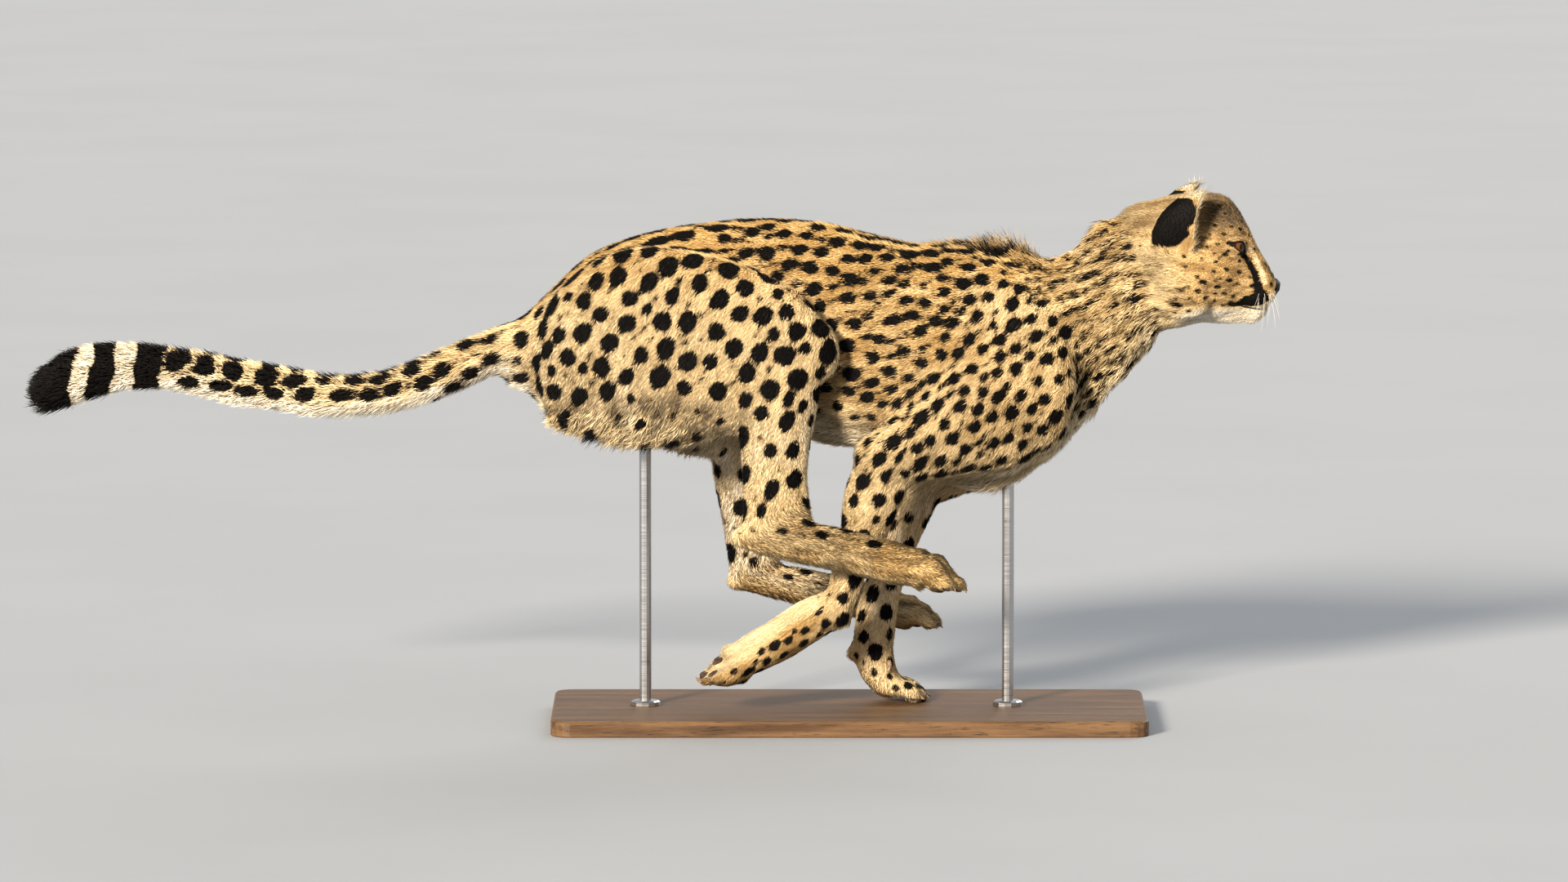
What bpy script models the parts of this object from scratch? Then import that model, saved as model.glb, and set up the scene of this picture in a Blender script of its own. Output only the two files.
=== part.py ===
"""A life-size running cheetah, as a still museum model on a plain display stand.

The animal runs towards +X with its right side at -Y, in the gathered part of its stride:
both hind feet swing forward outside the forelegs, the right forepaw trails and the left
forepaw is on the ground. Heights are measured from the underside of the stand.
Sizes and places are in millimetres, and MM turns them into Blender's metres.
The body is modelled whole from lofted flesh, fused, smoothed and parted by thin cuts.
"""

import math

import bmesh
import bpy
import numpy as np
from mathutils import Matrix, Vector

MM = 0.001
GROUND = 22.0  # top of the stand's base
BASE_LENGTH, BASE_WIDTH = 800.0, 340.0
ROD_RADIUS, ROD_IN_BODY = 8.0, 28.0
ROD_FRONT_X, ROD_REAR_X = 214.0, -275.0
VOXEL = 4.0
WELD = 0.004
CUT_GAP = 0.5
LIMB_GAP = 0.9
SEAT_GAP = 0.45
BODY_TRIANGLES = 26000  # before the body is parted and each piece is thinned
LIMB_REACH = 240.0  # how far out a limb's cutting block runs
LIMB_INNER = 24.0  # least distance of a slanted inner wall from the middle
SLIVER = 20.0  # cubic millimetres that a cut may leave loose, on a plain cut,
THIN_CUT_SLIVER = 60.0  # beside a thin cut,
LIMB_SLIVER = 400.0  # and where a limb leaves the body
BODY_CUTS = 16  # the first cuts of the list part the body, the rest the limbs
SOLE_ROOM = 0.3
ROD_FOOT = ((0.3, 20), (5, 20), (7, 17), (7.5, ROD_RADIUS))  # rise above the board, radius
EYE_RADIUS = 16.0
EYE_PLACE = (513.0, 33.0, 645.0)  # centre of the left eyeball
EAR_ROOT, EAR_TIP, EAR_WALL = (447.0, 46.0, 640.0), (476.0, 65.0, 724.0), 4.5  # of the left ear

COAT = ("coat", (0.72, 0.50, 0.26), 0.75, 0.0)
DARK_SKIN = ("nose_skin", (0.03, 0.025, 0.022), 0.45, 0.0)
EYE = ("eye", (0.35, 0.16, 0.04), 0.08, 0.0)
CLAW = ("claw", (0.10, 0.08, 0.06), 0.35, 0.0)
WOOD = ("stand_wood", (0.45, 0.30, 0.17), 0.45, 0.0)
STEEL = ("stand_steel", (0.60, 0.60, 0.60), 0.30, 1.0)

# Sections of upright tubes, which run along X:
# x, middle y, top z, z where it is widest, bottom z, half width.
TRUNK = (
    (-434, 0, 556, 510, 446, 36),
    (-396, 0, 593, 524, 418, 58),
    (-352, 0, 632, 540, 415, 76),
    (-297, 0, 657, 552, 420, 82),
    (-231, 0, 672, 562, 424, 80),
    (-165, 0, 681, 566, 420, 73),
    (-99, 0, 684, 560, 398, 69),
    (-33, 0, 678, 545, 377, 74),
    (22, 0, 665, 523, 366, 84),
    (88, 0, 650, 502, 343, 93),
    (143, 0, 649, 491, 320, 96),
    (198, 0, 644, 482, 317, 92),
    (242, 0, 632, 477, 335, 84),
    (286, 0, 617, 480, 370, 70),
    (318, 0, 594, 487, 412, 50),
)
NECK = (
    (240, 0, 632, 500, 350, 78),
    (275, 0, 624, 515, 372, 72),
    (305, 0, 641, 536, 402, 66),
    (334, 0, 668, 556, 440, 61),
    (365, 0, 690, 582, 464, 58),
    (393, 0, 704, 604, 492, 58),
    (420, 0, 708, 612, 528, 57),
)
SKULL = (
    (388, 0, 694, 612, 520, 46),
    (412, 0, 708, 612, 530, 58),
    (438, 0, 714, 608, 533, 64),
    (463, 0, 717, 608, 539, 65),
    (486, 0, 716, 612, 544, 61),
    (506, 0, 711, 618, 547, 53),
    (523, 0, 694, 614, 548, 42),
    (537, 0, 669, 604, 549, 34),
    (549, 0, 643, 597, 549, 30),
    (560, 0, 624, 593, 556, 29),
    (567, 0, 612, 590, 567, 24),
    (571, 0, 603, 588, 576, 17),
)
TAIL = (
    (-405, 0, 566, 520, 478, 38),
    (-451, 0, 547, 512, 477, 34),
    (-484, 1, 534, 500, 464, 32),
    (-528, 2, 517, 481, 444, 31),
    (-572, 4, 498, 463, 428, 30),
    (-630, 6, 476, 446, 415, 29),
    (-704, 8, 472, 441, 411, 29),
    (-770, 8, 481, 451, 422, 28),
    (-836, 6, 493, 462, 431, 28),
    (-902, 3, 507, 477, 448, 27),
    (-960, 0, 514, 483, 451, 28),
    (-1012, -3, 513, 478, 441, 31),
    (-1050, -6, 504, 466, 427, 30),
    (-1082, -8, 486, 453, 418, 26),
)
# Near side is the animal's right, at -Y; far side is its left.
NEAR_THIGH = (
    (-396, -44, 588, 500, 406, 30),
    (-332, -58, 640, 520, 393, 42),
    (-264, -68, 654, 528, 382, 48),
    (-198, -77, 646, 528, 386, 48),
    (-143, -86, 630, 520, 401, 44),
    (-99, -93, 612, 515, 417, 40),
    (-60, -98, 589, 515, 440, 34),
    (-36, -100, 556, 512, 466, 26),
)
FAR_THIGH = (
    (-396, 44, 580, 495, 400, 30),
    (-332, 58, 632, 508, 388, 42),
    (-264, 66, 640, 505, 372, 48),
    (-204, 74, 618, 484, 350, 48),
    (-154, 82, 584, 460, 346, 44),
    (-116, 88, 552, 450, 360, 40),
    (-84, 92, 512, 446, 386, 33),
    (-62, 94, 480, 440, 408, 25),
)
NEAR_UPPER_ARM = (
    (282, -74, 505, 445, 384, 26),
    (231, -80, 529, 450, 354, 33),
    (176, -85, 514, 440, 345, 38),
    (121, -88, 476, 412, 336, 38),
    (77, -89, 440, 388, 329, 35),
    (44, -88, 414, 372, 327, 31),
    (18, -87, 396, 372, 346, 23),
)
FAR_UPPER_ARM = (
    (282, 74, 498, 430, 360, 26),
    (231, 79, 500, 415, 322, 33),
    (192, 81, 484, 400, 305, 37),
    (160, 82, 452, 376, 298, 36),
    (132, 82, 418, 352, 288, 32),
    (106, 81, 372, 332, 298, 24),
)
# Sections square to the tube's own line: x, y, z, half width, half depth in front, half depth behind.
NEAR_SHANK = (
    (-84, -97, 500, 35, 54, 62),
    (-97, -102, 440, 33, 56, 60),
    (-100, -107, 394, 29, 50, 50),
    (-103, -113, 349, 26, 48, 43),
    (-104, -119, 308, 23, 53, 41),
    (-106, -124, 276, 22, 54, 39),
)
FAR_SHANK = (
    (-118, 94, 430, 35, 58, 58),
    (-136, 101, 372, 32, 54, 52),
    (-140, 107, 318, 27, 46, 45),
    (-136, 112, 266, 23, 41, 39),
    (-131, 117, 216, 21, 38, 36),
    (-128, 120, 184, 20, 34, 34),
)
NEAR_HIND_FOOT = (
    (-150, -125, 266, 17, 13, 14),
    (-122, -127, 263, 21, 24, 21),
    (-77, -130, 259, 24, 31, 27),
    (-33, -134, 251, 25, 32, 27),
    (11, -139, 242, 26, 31, 28),
    (55, -144, 232, 30, 30, 29),
    (92, -148, 226, 31, 25, 26),
)
FAR_HIND_FOOT = (
    (-158, 120, 178, 16, 13, 13),
    (-128, 122, 179, 20, 21, 21),
    (-82, 125, 172, 23, 26, 25),
    (-33, 129, 162, 24, 26, 26),
    (16, 133, 150, 26, 26, 26),
    (54, 137, 139, 29, 25, 26),
    (80, 139, 131, 30, 21, 22),
)
NEAR_SCAPULA = (
    (190, -48, 604, 18, 36, 36),
    (220, -62, 553, 24, 46, 52),
    (250, -72, 508, 27, 46, 60),
    (266, -76, 470, 28, 42, 60),
    (262, -78, 432, 26, 36, 52),
)
FAR_SCAPULA = tuple((x, -y, z, *sizes) for x, y, z, *sizes in NEAR_SCAPULA)
NEAR_FOREARM = (
    (48, -88, 372, 28, 38, 36),
    (44, -87, 338, 29, 38, 46),
    (31, -85, 296, 26, 33, 44),
    (20, -82, 257, 23, 28, 36),
    (4, -78, 214, 22, 21, 29),
    (-8, -76, 176, 23, 21, 28),
    (-22, -75, 155, 24, 27, 27),
)
FAR_FOREARM = (
    (96, 80, 322, 28, 38, 40),
    (78, 76, 272, 26, 33, 35),
    (62, 71, 226, 23, 28, 31),
    (49, 65, 180, 22, 26, 28),
    (38, 60, 138, 24, 28, 30),
    (34, 55, 102, 25, 29, 29),
)
NEAR_FORE_FOOT = (
    (-16, -75, 166, 24, 27, 26),
    (-52, -75, 149, 25, 30, 28),
    (-90, -76, 122, 26, 28, 30),
    (-126, -77, 101, 30, 25, 30),
    (-152, -77, 88, 30, 21, 26),
)
FAR_FORE_FOOT = (
    (32, 55, 104, 25, 29, 29),
    (36, 52, 72, 27, 27, 26),
    (48, 50, 50, 31, 23, 22),
    (62, 49, 42, 31, 17, 18),
)

# Each foot's toes: name, root in the middle of the foot, way they point, way the foot's back faces,
# toe length, and how far they droop at the tip.
FEET = {
    "fore_right": ((-145, -77, 89), (-0.92, -0.03, -0.38), (0.38, 0, -0.92), 60, -1),
    "fore_left": ((62, 49, 41), (0.97, -0.02, -0.12), (0.12, 0, 0.99), 44, 5),
    "hind_right": ((88, -148, 227), (0.97, -0.06, -0.24), (0.24, 0, 0.97), 70, 6),
    "hind_left": ((74, 139, 132), (0.99, 0.04, -0.10), (0.10, 0, 0.99), 50, 6),
}
TOE_SPREAD = (-24.0, -8.5, 8.5, 24.0)
TOE_REACH = (0.82, 1.0, 1.0, 0.80)
TOE_HALF_WIDTH, TOE_HALF_DEPTH = 10.0, 12.5

# Thin cuts that part one named piece from another: new piece, piece it leaves, middle of the cut,
# way it faces (towards the new piece), and half sizes of the cut along and across.
CUTS = (
    ("tail_base", "body", (-440, 0, 512), (-1, 0, -0.25), (110, 70)),
    ("tail_2", "tail_base", (-572, 4, 463), (-1, 0, -0.35), (60, 60)),
    ("tail_3", "tail_2", (-704, 8, 441), (-1, 0, 0), (60, 60)),
    ("tail_4", "tail_3", (-836, 6, 462), (-1, 0, 0.2), (60, 60)),
    ("tail_tip", "tail_4", (-960, 0, 483), (-1, 0, 0.1), (60, 60)),
    ("head", "body", (396, 0, 604), (0.93, 0, 0.36), (130, 100)),
    ("shank_right", "body", (-95, -104, 434), (0.48, -0.1, -0.88), (98, 54)),
    ("metatarsus_right", "shank_right", (-98, -122, 300), (0.55, -0.05, -0.83), (90, 50)),
    ("hind_paw_right", "metatarsus_right", (50, -143, 233), (1, 0, -0.2), (50, 50)),
    ("shank_left", "body", (-120, 99, 392), (0.56, 0.1, -0.83), (98, 54)),
    ("metatarsus_left", "shank_left", (-118, 120, 208), (0.55, 0.05, -0.83), (90, 50)),
    ("hind_paw_left", "metatarsus_left", (46, 136, 142), (1, 0, -0.2), (50, 50)),
    ("forearm_right", "body", (44, -90, 342), (-0.15, -0.1, -1), (64, 40)),
    ("fore_paw_right", "forearm_right", (-30, -75, 158), (-0.8, 0, -0.6), (50, 50)),
    ("forearm_left", "body", (88, 80, 306), (-0.3, 0.1, -1), (60, 40)),
    ("fore_paw_left", "forearm_left", (33, 54, 88), (0, 0, -1), (50, 50)),
    ("rump", "body", (-165, 0, 560), (-1, 0, -0.1), (200, 200)),
    ("loin", "body", (22, 0, 520), (-1, 0, -0.1), (200, 200)),
    ("neck", "body", (296, 0, 505), (0.83, 0, 0.56), (200, 160)),
)
# Thighs and upper arms leave the body sideways. Outline in x and z, and the y of the inner wall
# at x 0 and z 0 with its change along x and z, all given for the left side.
LIMB_CUTS = (
    (
        "thigh_right",
        -1,
        ((-446, 470), (-420, 566), (-345, 645), (-264, 668), (-190, 662), (-112, 632), (-50, 604),
         (-8, 560), (4, 480), (-20, 400), (-420, 366)),
        (20, 0.135, 0.12),
    ),
    (
        "thigh_left",
        1,
        ((-446, 470), (-420, 560), (-345, 640), (-264, 655), (-190, 634), (-128, 592), (-72, 540),
         (-32, 480), (-36, 400), (-90, 340), (-420, 340)),
        (20, 0.135, 0.12),
    ),
    (
        "upper_arm_right",
        -1,
        ((0, 318), (-14, 372), (44, 432), (118, 496), (160, 532), (158, 626), (216, 628), (300, 560),
         (322, 470), (300, 372), (180, 320)),
        (54, 0.03, 0),
    ),
    (
        "upper_arm_left",
        1,
        ((70, 290), (84, 340), (120, 440), (150, 490), (158, 540), (158, 626), (216, 628), (300, 560),
         (322, 470), (300, 350), (190, 290), (120, 276)),
        (54, 0.03, 0),
    ),
)


# Triangles that each piece is thinned to.
PIECE_TRIANGLES = {
    "head": 900,
    "neck": 290,
    "chest": 470,
    "loin": 350,
    "rump": 390,
    "tail": 126,
    "upper": 280,
    "forearm": 186,
    "fore": 290,
    "thigh": 340,
    "shank": 186,
    "metatarsus": 170,
    "hind": 276,
    "ear": 196,
    "nose": 64,
}


def smooth_rows(rows, per_gap):
    """Rows of numbers with per_gap steps between each pair, on a smooth curve through the rows."""
    rows = np.array(rows, float)
    before = 2 * rows[0] - rows[1]
    after = 2 * rows[-1] - rows[-2]
    rows = np.vstack((before, rows, after))
    made = []
    for i in range(1, len(rows) - 2):
        p0, p1, p2, p3 = rows[i - 1 : i + 3]
        for t in np.arange(per_gap) / per_gap:
            made.append(
                0.5
                * (
                    2 * p1
                    + (p2 - p0) * t
                    + (2 * p0 - 5 * p1 + 4 * p2 - p3) * t**2
                    + (3 * p1 - p0 - 3 * p2 + p3) * t**3
                )
            )
    made.append(rows[-2])
    return np.array(made)


def skin_rings(mesh, rings):
    """Closes a row of rings of points into one tube with a pole at each end."""
    made = [[mesh.verts.new(Vector(p) * MM) for p in ring] for ring in rings]
    count = len(made[0])
    for first, second in zip(made, made[1:]):
        for i in range(count):
            j = (i + 1) % count
            mesh.faces.new((first[i], first[j], second[j], second[i]))
    for ring, flip in ((made[0], True), (made[-1], False)):
        pole = mesh.verts.new(sum((v.co for v in ring), Vector()) / count)
        for i in range(count):
            j = (i + 1) % count
            corners = (pole, ring[i], ring[j])
            mesh.faces.new(corners[::-1] if flip else corners)


def rounded(rows, centre_columns, size_columns, reach):
    """Adds shrinking sections past both ends, so that a tube closes in a dome."""
    ends = []
    for end, inner in ((rows[0], rows[1]), (rows[-1], rows[-2])):
        way = end[centre_columns] - inner[centre_columns]
        way = way / np.linalg.norm(way)
        added = []
        for angle in np.radians((30, 55, 75)):
            row = end.copy()
            row[centre_columns] += way * reach * math.sin(angle)
            row[size_columns] *= math.cos(angle)
            added.append(row)
        ends.append(added)
    return np.vstack((ends[0][::-1], rows, ends[1]))


def upright_tube(mesh, sections, dome=0.35, sides=28, per_gap=4):
    """A tube along X whose sections stand upright, with the top, widest and bottom heights of each."""
    rows = smooth_rows(sections, per_gap)
    # Columns: x, y, widest z, height above it, depth below it, half width.
    shape = np.column_stack(
        (rows[:, 0], rows[:, 1], rows[:, 3], rows[:, 2] - rows[:, 3], rows[:, 3] - rows[:, 4], rows[:, 5])
    )
    reach = dome * float(shape[:, 3:].mean())
    shape = rounded(shape, [0, 1, 2], [3, 4, 5], reach)
    around = np.linspace(0, 2 * math.pi, sides, endpoint=False)
    rings = []
    for x, y, z, above, below, half in shape:
        up = np.where(np.sin(around) > 0, above, below) * np.sin(around)
        rings.append([(x, y + half * c, z + u) for c, u in zip(np.cos(around), up)])
    skin_rings(mesh, rings)


def square_tube(mesh, sections, dome=0.6, sides=20, per_gap=5):
    """A tube whose sections stand square to its own line, with depths in front of and behind it."""
    rows = smooth_rows(sections, per_gap)
    reach = dome * float(rows[[0, -1], 3:].mean())
    rows = rounded(rows, [0, 1, 2], [3, 4, 5], reach)
    line = np.gradient(rows[:, :3], axis=0)
    around = np.linspace(0, 2 * math.pi, sides, endpoint=False)
    rings = []
    for row, way in zip(rows, line):
        way = Vector(way).normalized()
        side = (Vector((0, 1, 0)) - way * way.y).normalized()
        front = way.cross(side)
        ring = []
        for angle in around:
            depth = row[4] if math.sin(angle) > 0 else row[5]
            ring.append(
                Vector(row[:3]) + side * (row[3] * math.cos(angle)) + front * (depth * math.sin(angle))
            )
        rings.append(ring)
    skin_rings(mesh, rings)


def plain_tube(mesh, sections, sides=5):
    """A small tube straight through its sections, with flat ends."""
    rings = []
    for i, section in enumerate(sections):
        first, last = Vector(sections[max(i - 1, 0)][:3]), Vector(sections[min(i + 1, len(sections) - 1)][:3])
        way = (last - first).normalized()
        side = Vector((0, 1, 0)) if abs(way.y) < 0.9 else Vector((1, 0, 0))
        side = (side - way * way.dot(side)).normalized()
        front = way.cross(side)
        ring = []
        for angle in np.linspace(0, 2 * math.pi, sides, endpoint=False):
            depth = section[4] if math.sin(angle) > 0 else section[5]
            across = side * (section[3] * math.cos(angle)) + front * (depth * math.sin(angle))
            ring.append(Vector(section[:3]) + across)
        rings.append(ring)
    skin_rings(mesh, rings)


def blob(mesh, middle, radii, turn=(0, 0, 0)):
    """An ellipsoid of flesh. turn holds its rotations about X, Y and Z in degrees."""
    spin = Matrix.Rotation(math.radians(turn[2]), 4, "Z")
    spin = spin @ Matrix.Rotation(math.radians(turn[1]), 4, "Y")
    spin = spin @ Matrix.Rotation(math.radians(turn[0]), 4, "X")
    place = Matrix.Translation(Vector(middle) * MM) @ spin @ Matrix.Diagonal((*[r * MM for r in radii], 1))
    bmesh.ops.create_icosphere(mesh, subdivisions=3, radius=1, matrix=place)


def both_sides(mesh, middle, radii, turn=(0, 0, 0)):
    """The same ellipsoid on the left and the right."""
    for side in (1, -1):
        blob(
            mesh,
            (middle[0], side * middle[1], middle[2]),
            radii,
            (side * turn[0], turn[1], side * turn[2]),
        )


def add_head(mesh):
    """Skull, brow, cheeks, muzzle with its whisker pads, and chin."""
    upright_tube(mesh, SKULL, dome=0.15, sides=28)
    both_sides(mesh, (509, 27, 669), (25, 15, 15), (0, 28, -18))  # brow over the eye
    both_sides(mesh, (486, 38, 611), (42, 25, 32), (0, 14, -16))  # cheekbone
    both_sides(mesh, (448, 42, 590), (46, 25, 42), (0, 4, -4))  # jaw muscle
    both_sides(mesh, (549, 18, 579), (20, 15, 18), (0, 25, -12))  # whisker pad
    blob(mesh, (548, 0, 616), (28, 15, 12), (0, 50, 0))  # bridge of the nose
    blob(mesh, (543, 0, 560), (19, 19, 13), (0, 0, 0))  # chin
    blob(mesh, (474, 0, 694), (42, 30, 20), (0, 10, 0))  # crown


def toe_frames(foot):
    """Root, way, back and side of each of a foot's four toes, from the little toe to the first."""
    root, way, back, length, droop = FEET[foot]
    way, back = Vector(way).normalized(), Vector(back).normalized()
    side = back.cross(way).normalized()
    if foot.endswith("right"):
        side = -side
    for spread, reach in zip(TOE_SPREAD, TOE_REACH):
        toe_way = (way + side * spread * 0.006).normalized()
        yield Vector(root) + side * spread, toe_way, back, length * reach, droop


def add_toes(mesh, foot):
    """Four toes with a knuckle each, and the pads under the foot."""
    for root, way, back, length, droop in toe_frames(foot):
        square_tube(
            mesh,
            [
                (*(root - way * 14 - back * 1), TOE_HALF_WIDTH - 1, TOE_HALF_DEPTH, TOE_HALF_DEPTH - 1),
                (*(root + way * length * 0.35 + back * 2), TOE_HALF_WIDTH, TOE_HALF_DEPTH, TOE_HALF_DEPTH),
                (*(root + way * length * 0.72 - back * droop), TOE_HALF_WIDTH - 0.5, 11.0, 9.0),
                (*(root + way * length * 0.90 - back * droop * 1.7), TOE_HALF_WIDTH - 3, 7.0, 6.5),
            ],
            dome=0.6,
            sides=12,
            per_gap=3,
        )


def add_body(mesh):
    """All the flesh except the ears, as overlapping closed shapes."""
    upright_tube(mesh, TRUNK)
    upright_tube(mesh, NECK, dome=0.2)
    upright_tube(mesh, TAIL, dome=0.55, sides=16, per_gap=4)
    for thigh in (NEAR_THIGH, FAR_THIGH, NEAR_UPPER_ARM, FAR_UPPER_ARM):
        upright_tube(mesh, thigh, dome=0.3, sides=20)
    for limb in (NEAR_SHANK, FAR_SHANK, NEAR_SCAPULA, FAR_SCAPULA, NEAR_FOREARM, FAR_FOREARM):
        square_tube(mesh, limb)
    for foot in (NEAR_HIND_FOOT, FAR_HIND_FOOT, NEAR_FORE_FOOT, FAR_FORE_FOOT):
        square_tube(mesh, foot, dome=0.5)
    for foot in FEET:
        add_toes(mesh, foot)
    blob(mesh, (-6, -76, 143), (13, 12, 9))  # right carpal pad
    blob(mesh, (4, 55, 88), (10, 9, 12))  # left carpal pad
    add_head(mesh)


def new_object(name, mesh):
    obj = bpy.data.objects.new(name, mesh)
    bpy.context.scene.collection.objects.link(obj)
    return obj


def baked(obj):
    """The object with its modifiers made part of its mesh."""
    bpy.context.view_layer.update()
    graph = bpy.context.evaluated_depsgraph_get()
    mesh = bpy.data.meshes.new_from_object(obj.evaluated_get(graph))
    obj.modifiers.clear()
    obj.data = mesh
    return obj


def points_of(mesh):
    found = np.empty(len(mesh.vertices) * 3)
    mesh.vertices.foreach_get("co", found)
    return found.reshape(-1, 3)


def soften(mesh, strength, rounds):
    """Smooths a mesh without shrinking it. strength holds one number from 0 to 1 for each vertex."""
    places = points_of(mesh)
    edges = np.empty(len(mesh.edges) * 2, int)
    mesh.edges.foreach_get("vertices", edges)
    a, b = edges.reshape(-1, 2).T
    count = np.bincount(np.concatenate((a, b)), minlength=len(places))[:, None]
    for step in (0.55, -0.57) * rounds:
        total = np.zeros_like(places)
        for axis in range(3):
            total[:, axis] = np.bincount(a, places[b, axis], len(places))
            total[:, axis] += np.bincount(b, places[a, axis], len(places))
        places = places + step * strength[:, None] * (total / count - places)
    mesh.vertices.foreach_set("co", places.ravel())
    mesh.update()


def detail_of(places):
    """1 on the head and the feet, where the surface keeps its small forms, and 0 on the trunk."""
    head = 0.6 * np.clip((places[:, 0] - 0.400) / 0.040, 0, 1)
    feet = np.zeros(len(places))
    for root, _, _, _, _ in FEET.values():
        away = np.linalg.norm(places - np.array(root) * MM, axis=1)
        feet = np.maximum(feet, np.clip((0.085 - away) / 0.030, 0, 1))
    return np.maximum(head, feet)


def make_flesh():
    """The whole body as one fused and smoothed surface of BODY_TRIANGLES faces."""
    raw = bmesh.new()
    add_body(raw)
    bmesh.ops.recalc_face_normals(raw, faces=raw.faces)
    mesh = bpy.data.meshes.new("flesh")
    raw.to_mesh(mesh)
    raw.free()
    body = new_object("flesh", mesh)
    fuse = body.modifiers.new("fuse", "REMESH")
    fuse.mode = "VOXEL"
    fuse.voxel_size = VOXEL * MM
    baked(body)
    detail = detail_of(points_of(body.data))
    soften(body.data, 1 - 0.75 * detail, 26)
    thin = body.modifiers.new("thin", "DECIMATE")
    thin.use_collapse_triangulate = True
    thin.ratio = BODY_TRIANGLES / (2 * len(body.data.polygons))
    baked(body)
    return body


def cut_with(obj, tool, operation="DIFFERENCE"):
    """Booleans one object by another and leaves the tool as it was."""
    change = obj.modifiers.new("cut", "BOOLEAN")
    change.operation = operation
    change.solver = "EXACT"
    change.object = tool
    return baked(obj)


def tool_from(mesh):
    """A cutter, seen by no camera and shown as wires."""
    bmesh.ops.recalc_face_normals(mesh, faces=mesh.faces)
    data = bpy.data.meshes.new("cutter")
    mesh.to_mesh(data)
    mesh.free()
    tool = new_object("cutter", data)
    tool.hide_render = True
    tool.display_type = "WIRE"
    return tool


def slab(middle, facing, half_sizes):
    """A thin plate square to facing. Its first half size lies in the plane of X and Z."""
    facing = Vector(facing).normalized()
    across = (Vector((0, 1, 0)) - facing * facing.y).normalized()
    along = across.cross(facing)
    turn = Matrix((along, across, facing)).transposed().to_4x4()
    size = (2 * half_sizes[0] * MM, 2 * half_sizes[1] * MM, CUT_GAP * MM, 1)
    mesh = bmesh.new()
    place = Matrix.Translation(Vector(middle) * MM) @ turn @ Matrix.Diagonal(size)
    bmesh.ops.create_cube(mesh, size=1, matrix=place)
    return tool_from(mesh)


def prism(outline, side, wall, grow):
    """A block outward of a limb's inner wall. grow widens it all round."""
    middle = sum((Vector(p) for p in outline), Vector((0, 0))) / len(outline)
    mesh = bmesh.new()
    inner, outer = [], []
    for x, z in outline:
        away = (Vector((x, z)) - middle).normalized() * grow
        depth = wall[0] + wall[1] * x + wall[2] * z
        if wall[1]:
            depth = max(depth, LIMB_INNER)
        inner.append(mesh.verts.new(Vector((x + away.x, side * (depth - grow), z + away.y)) * MM))
        outer.append(mesh.verts.new(Vector((x + away.x, side * LIMB_REACH, z + away.y)) * MM))
    mesh.faces.new(inner)
    mesh.faces.new(outer[::-1])
    for i in range(len(outline)):
        j = (i + 1) % len(outline)
        mesh.faces.new((inner[i], inner[j], outer[j], outer[i]))
    mesh.normal_update()
    bmesh.ops.triangulate(mesh, faces=[f for f in mesh.faces if len(f.verts) > 4])
    return tool_from(mesh)


def loose_parts(obj):
    """Replaces an object by one new object for each of its separate bodies."""
    mesh = bmesh.new()
    mesh.from_mesh(obj.data)
    bmesh.ops.remove_doubles(mesh, verts=mesh.verts, dist=WELD * MM)
    bmesh.ops.dissolve_degenerate(mesh, edges=mesh.edges, dist=WELD * MM)
    mesh.verts.index_update()
    body_of, count = {}, 0
    for vertex in mesh.verts:
        if vertex.index in body_of:
            continue
        front = [vertex]
        body_of[vertex.index] = count
        while front:
            for edge in front.pop().link_edges:
                for other in edge.verts:
                    if other.index not in body_of:
                        body_of[other.index] = count
                        front.append(other)
        count += 1
    made = []
    for body in range(count):
        copy = bmesh.new()
        fresh = {v.index: copy.verts.new(v.co) for v in mesh.verts if body_of[v.index] == body}
        for face in mesh.faces:
            if body_of[face.verts[0].index] == body:
                copy.faces.new([fresh[v.index] for v in face.verts])
        data = bpy.data.meshes.new(obj.name)
        copy.to_mesh(data)
        copy.free()
        made.append(new_object(obj.name, data))
    mesh.free()
    bpy.data.objects.remove(obj)
    return made


def volume(obj):
    mesh = bmesh.new()
    mesh.from_mesh(obj.data)
    found = mesh.calc_volume() / MM**3
    mesh.free()
    return found


def middle_of(obj):
    return Vector(points_of(obj.data).mean(axis=0)) / MM


def keep_largest(obj, name, least=SLIVER):
    """Drops slivers that a cut left behind, and stops if more than a sliver is loose."""
    parts = sorted(loose_parts(obj), key=volume)
    for part in parts[:-1]:
        if volume(part) > least:
            raise RuntimeError(f"{name}: a loose body of {volume(part):.0f} mm3 at {middle_of(part)}")
        bpy.data.objects.remove(part)
    parts[-1].name = name
    return parts[-1]


def thin_out(obj):
    """Thins a piece to its share of triangles. Flat cut walls stay where they are."""
    wanted = PIECE_TRIANGLES.get(obj.name.split("_")[0])
    mesh = bmesh.new()
    mesh.from_mesh(obj.data)
    bmesh.ops.triangulate(mesh, faces=mesh.faces)
    mesh.to_mesh(obj.data)
    count = len(mesh.faces)
    mesh.free()
    if wanted and count > wanted:
        thin = obj.modifiers.new("thin", "DECIMATE")
        thin.ratio = wanted / count
        baked(obj)


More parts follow.
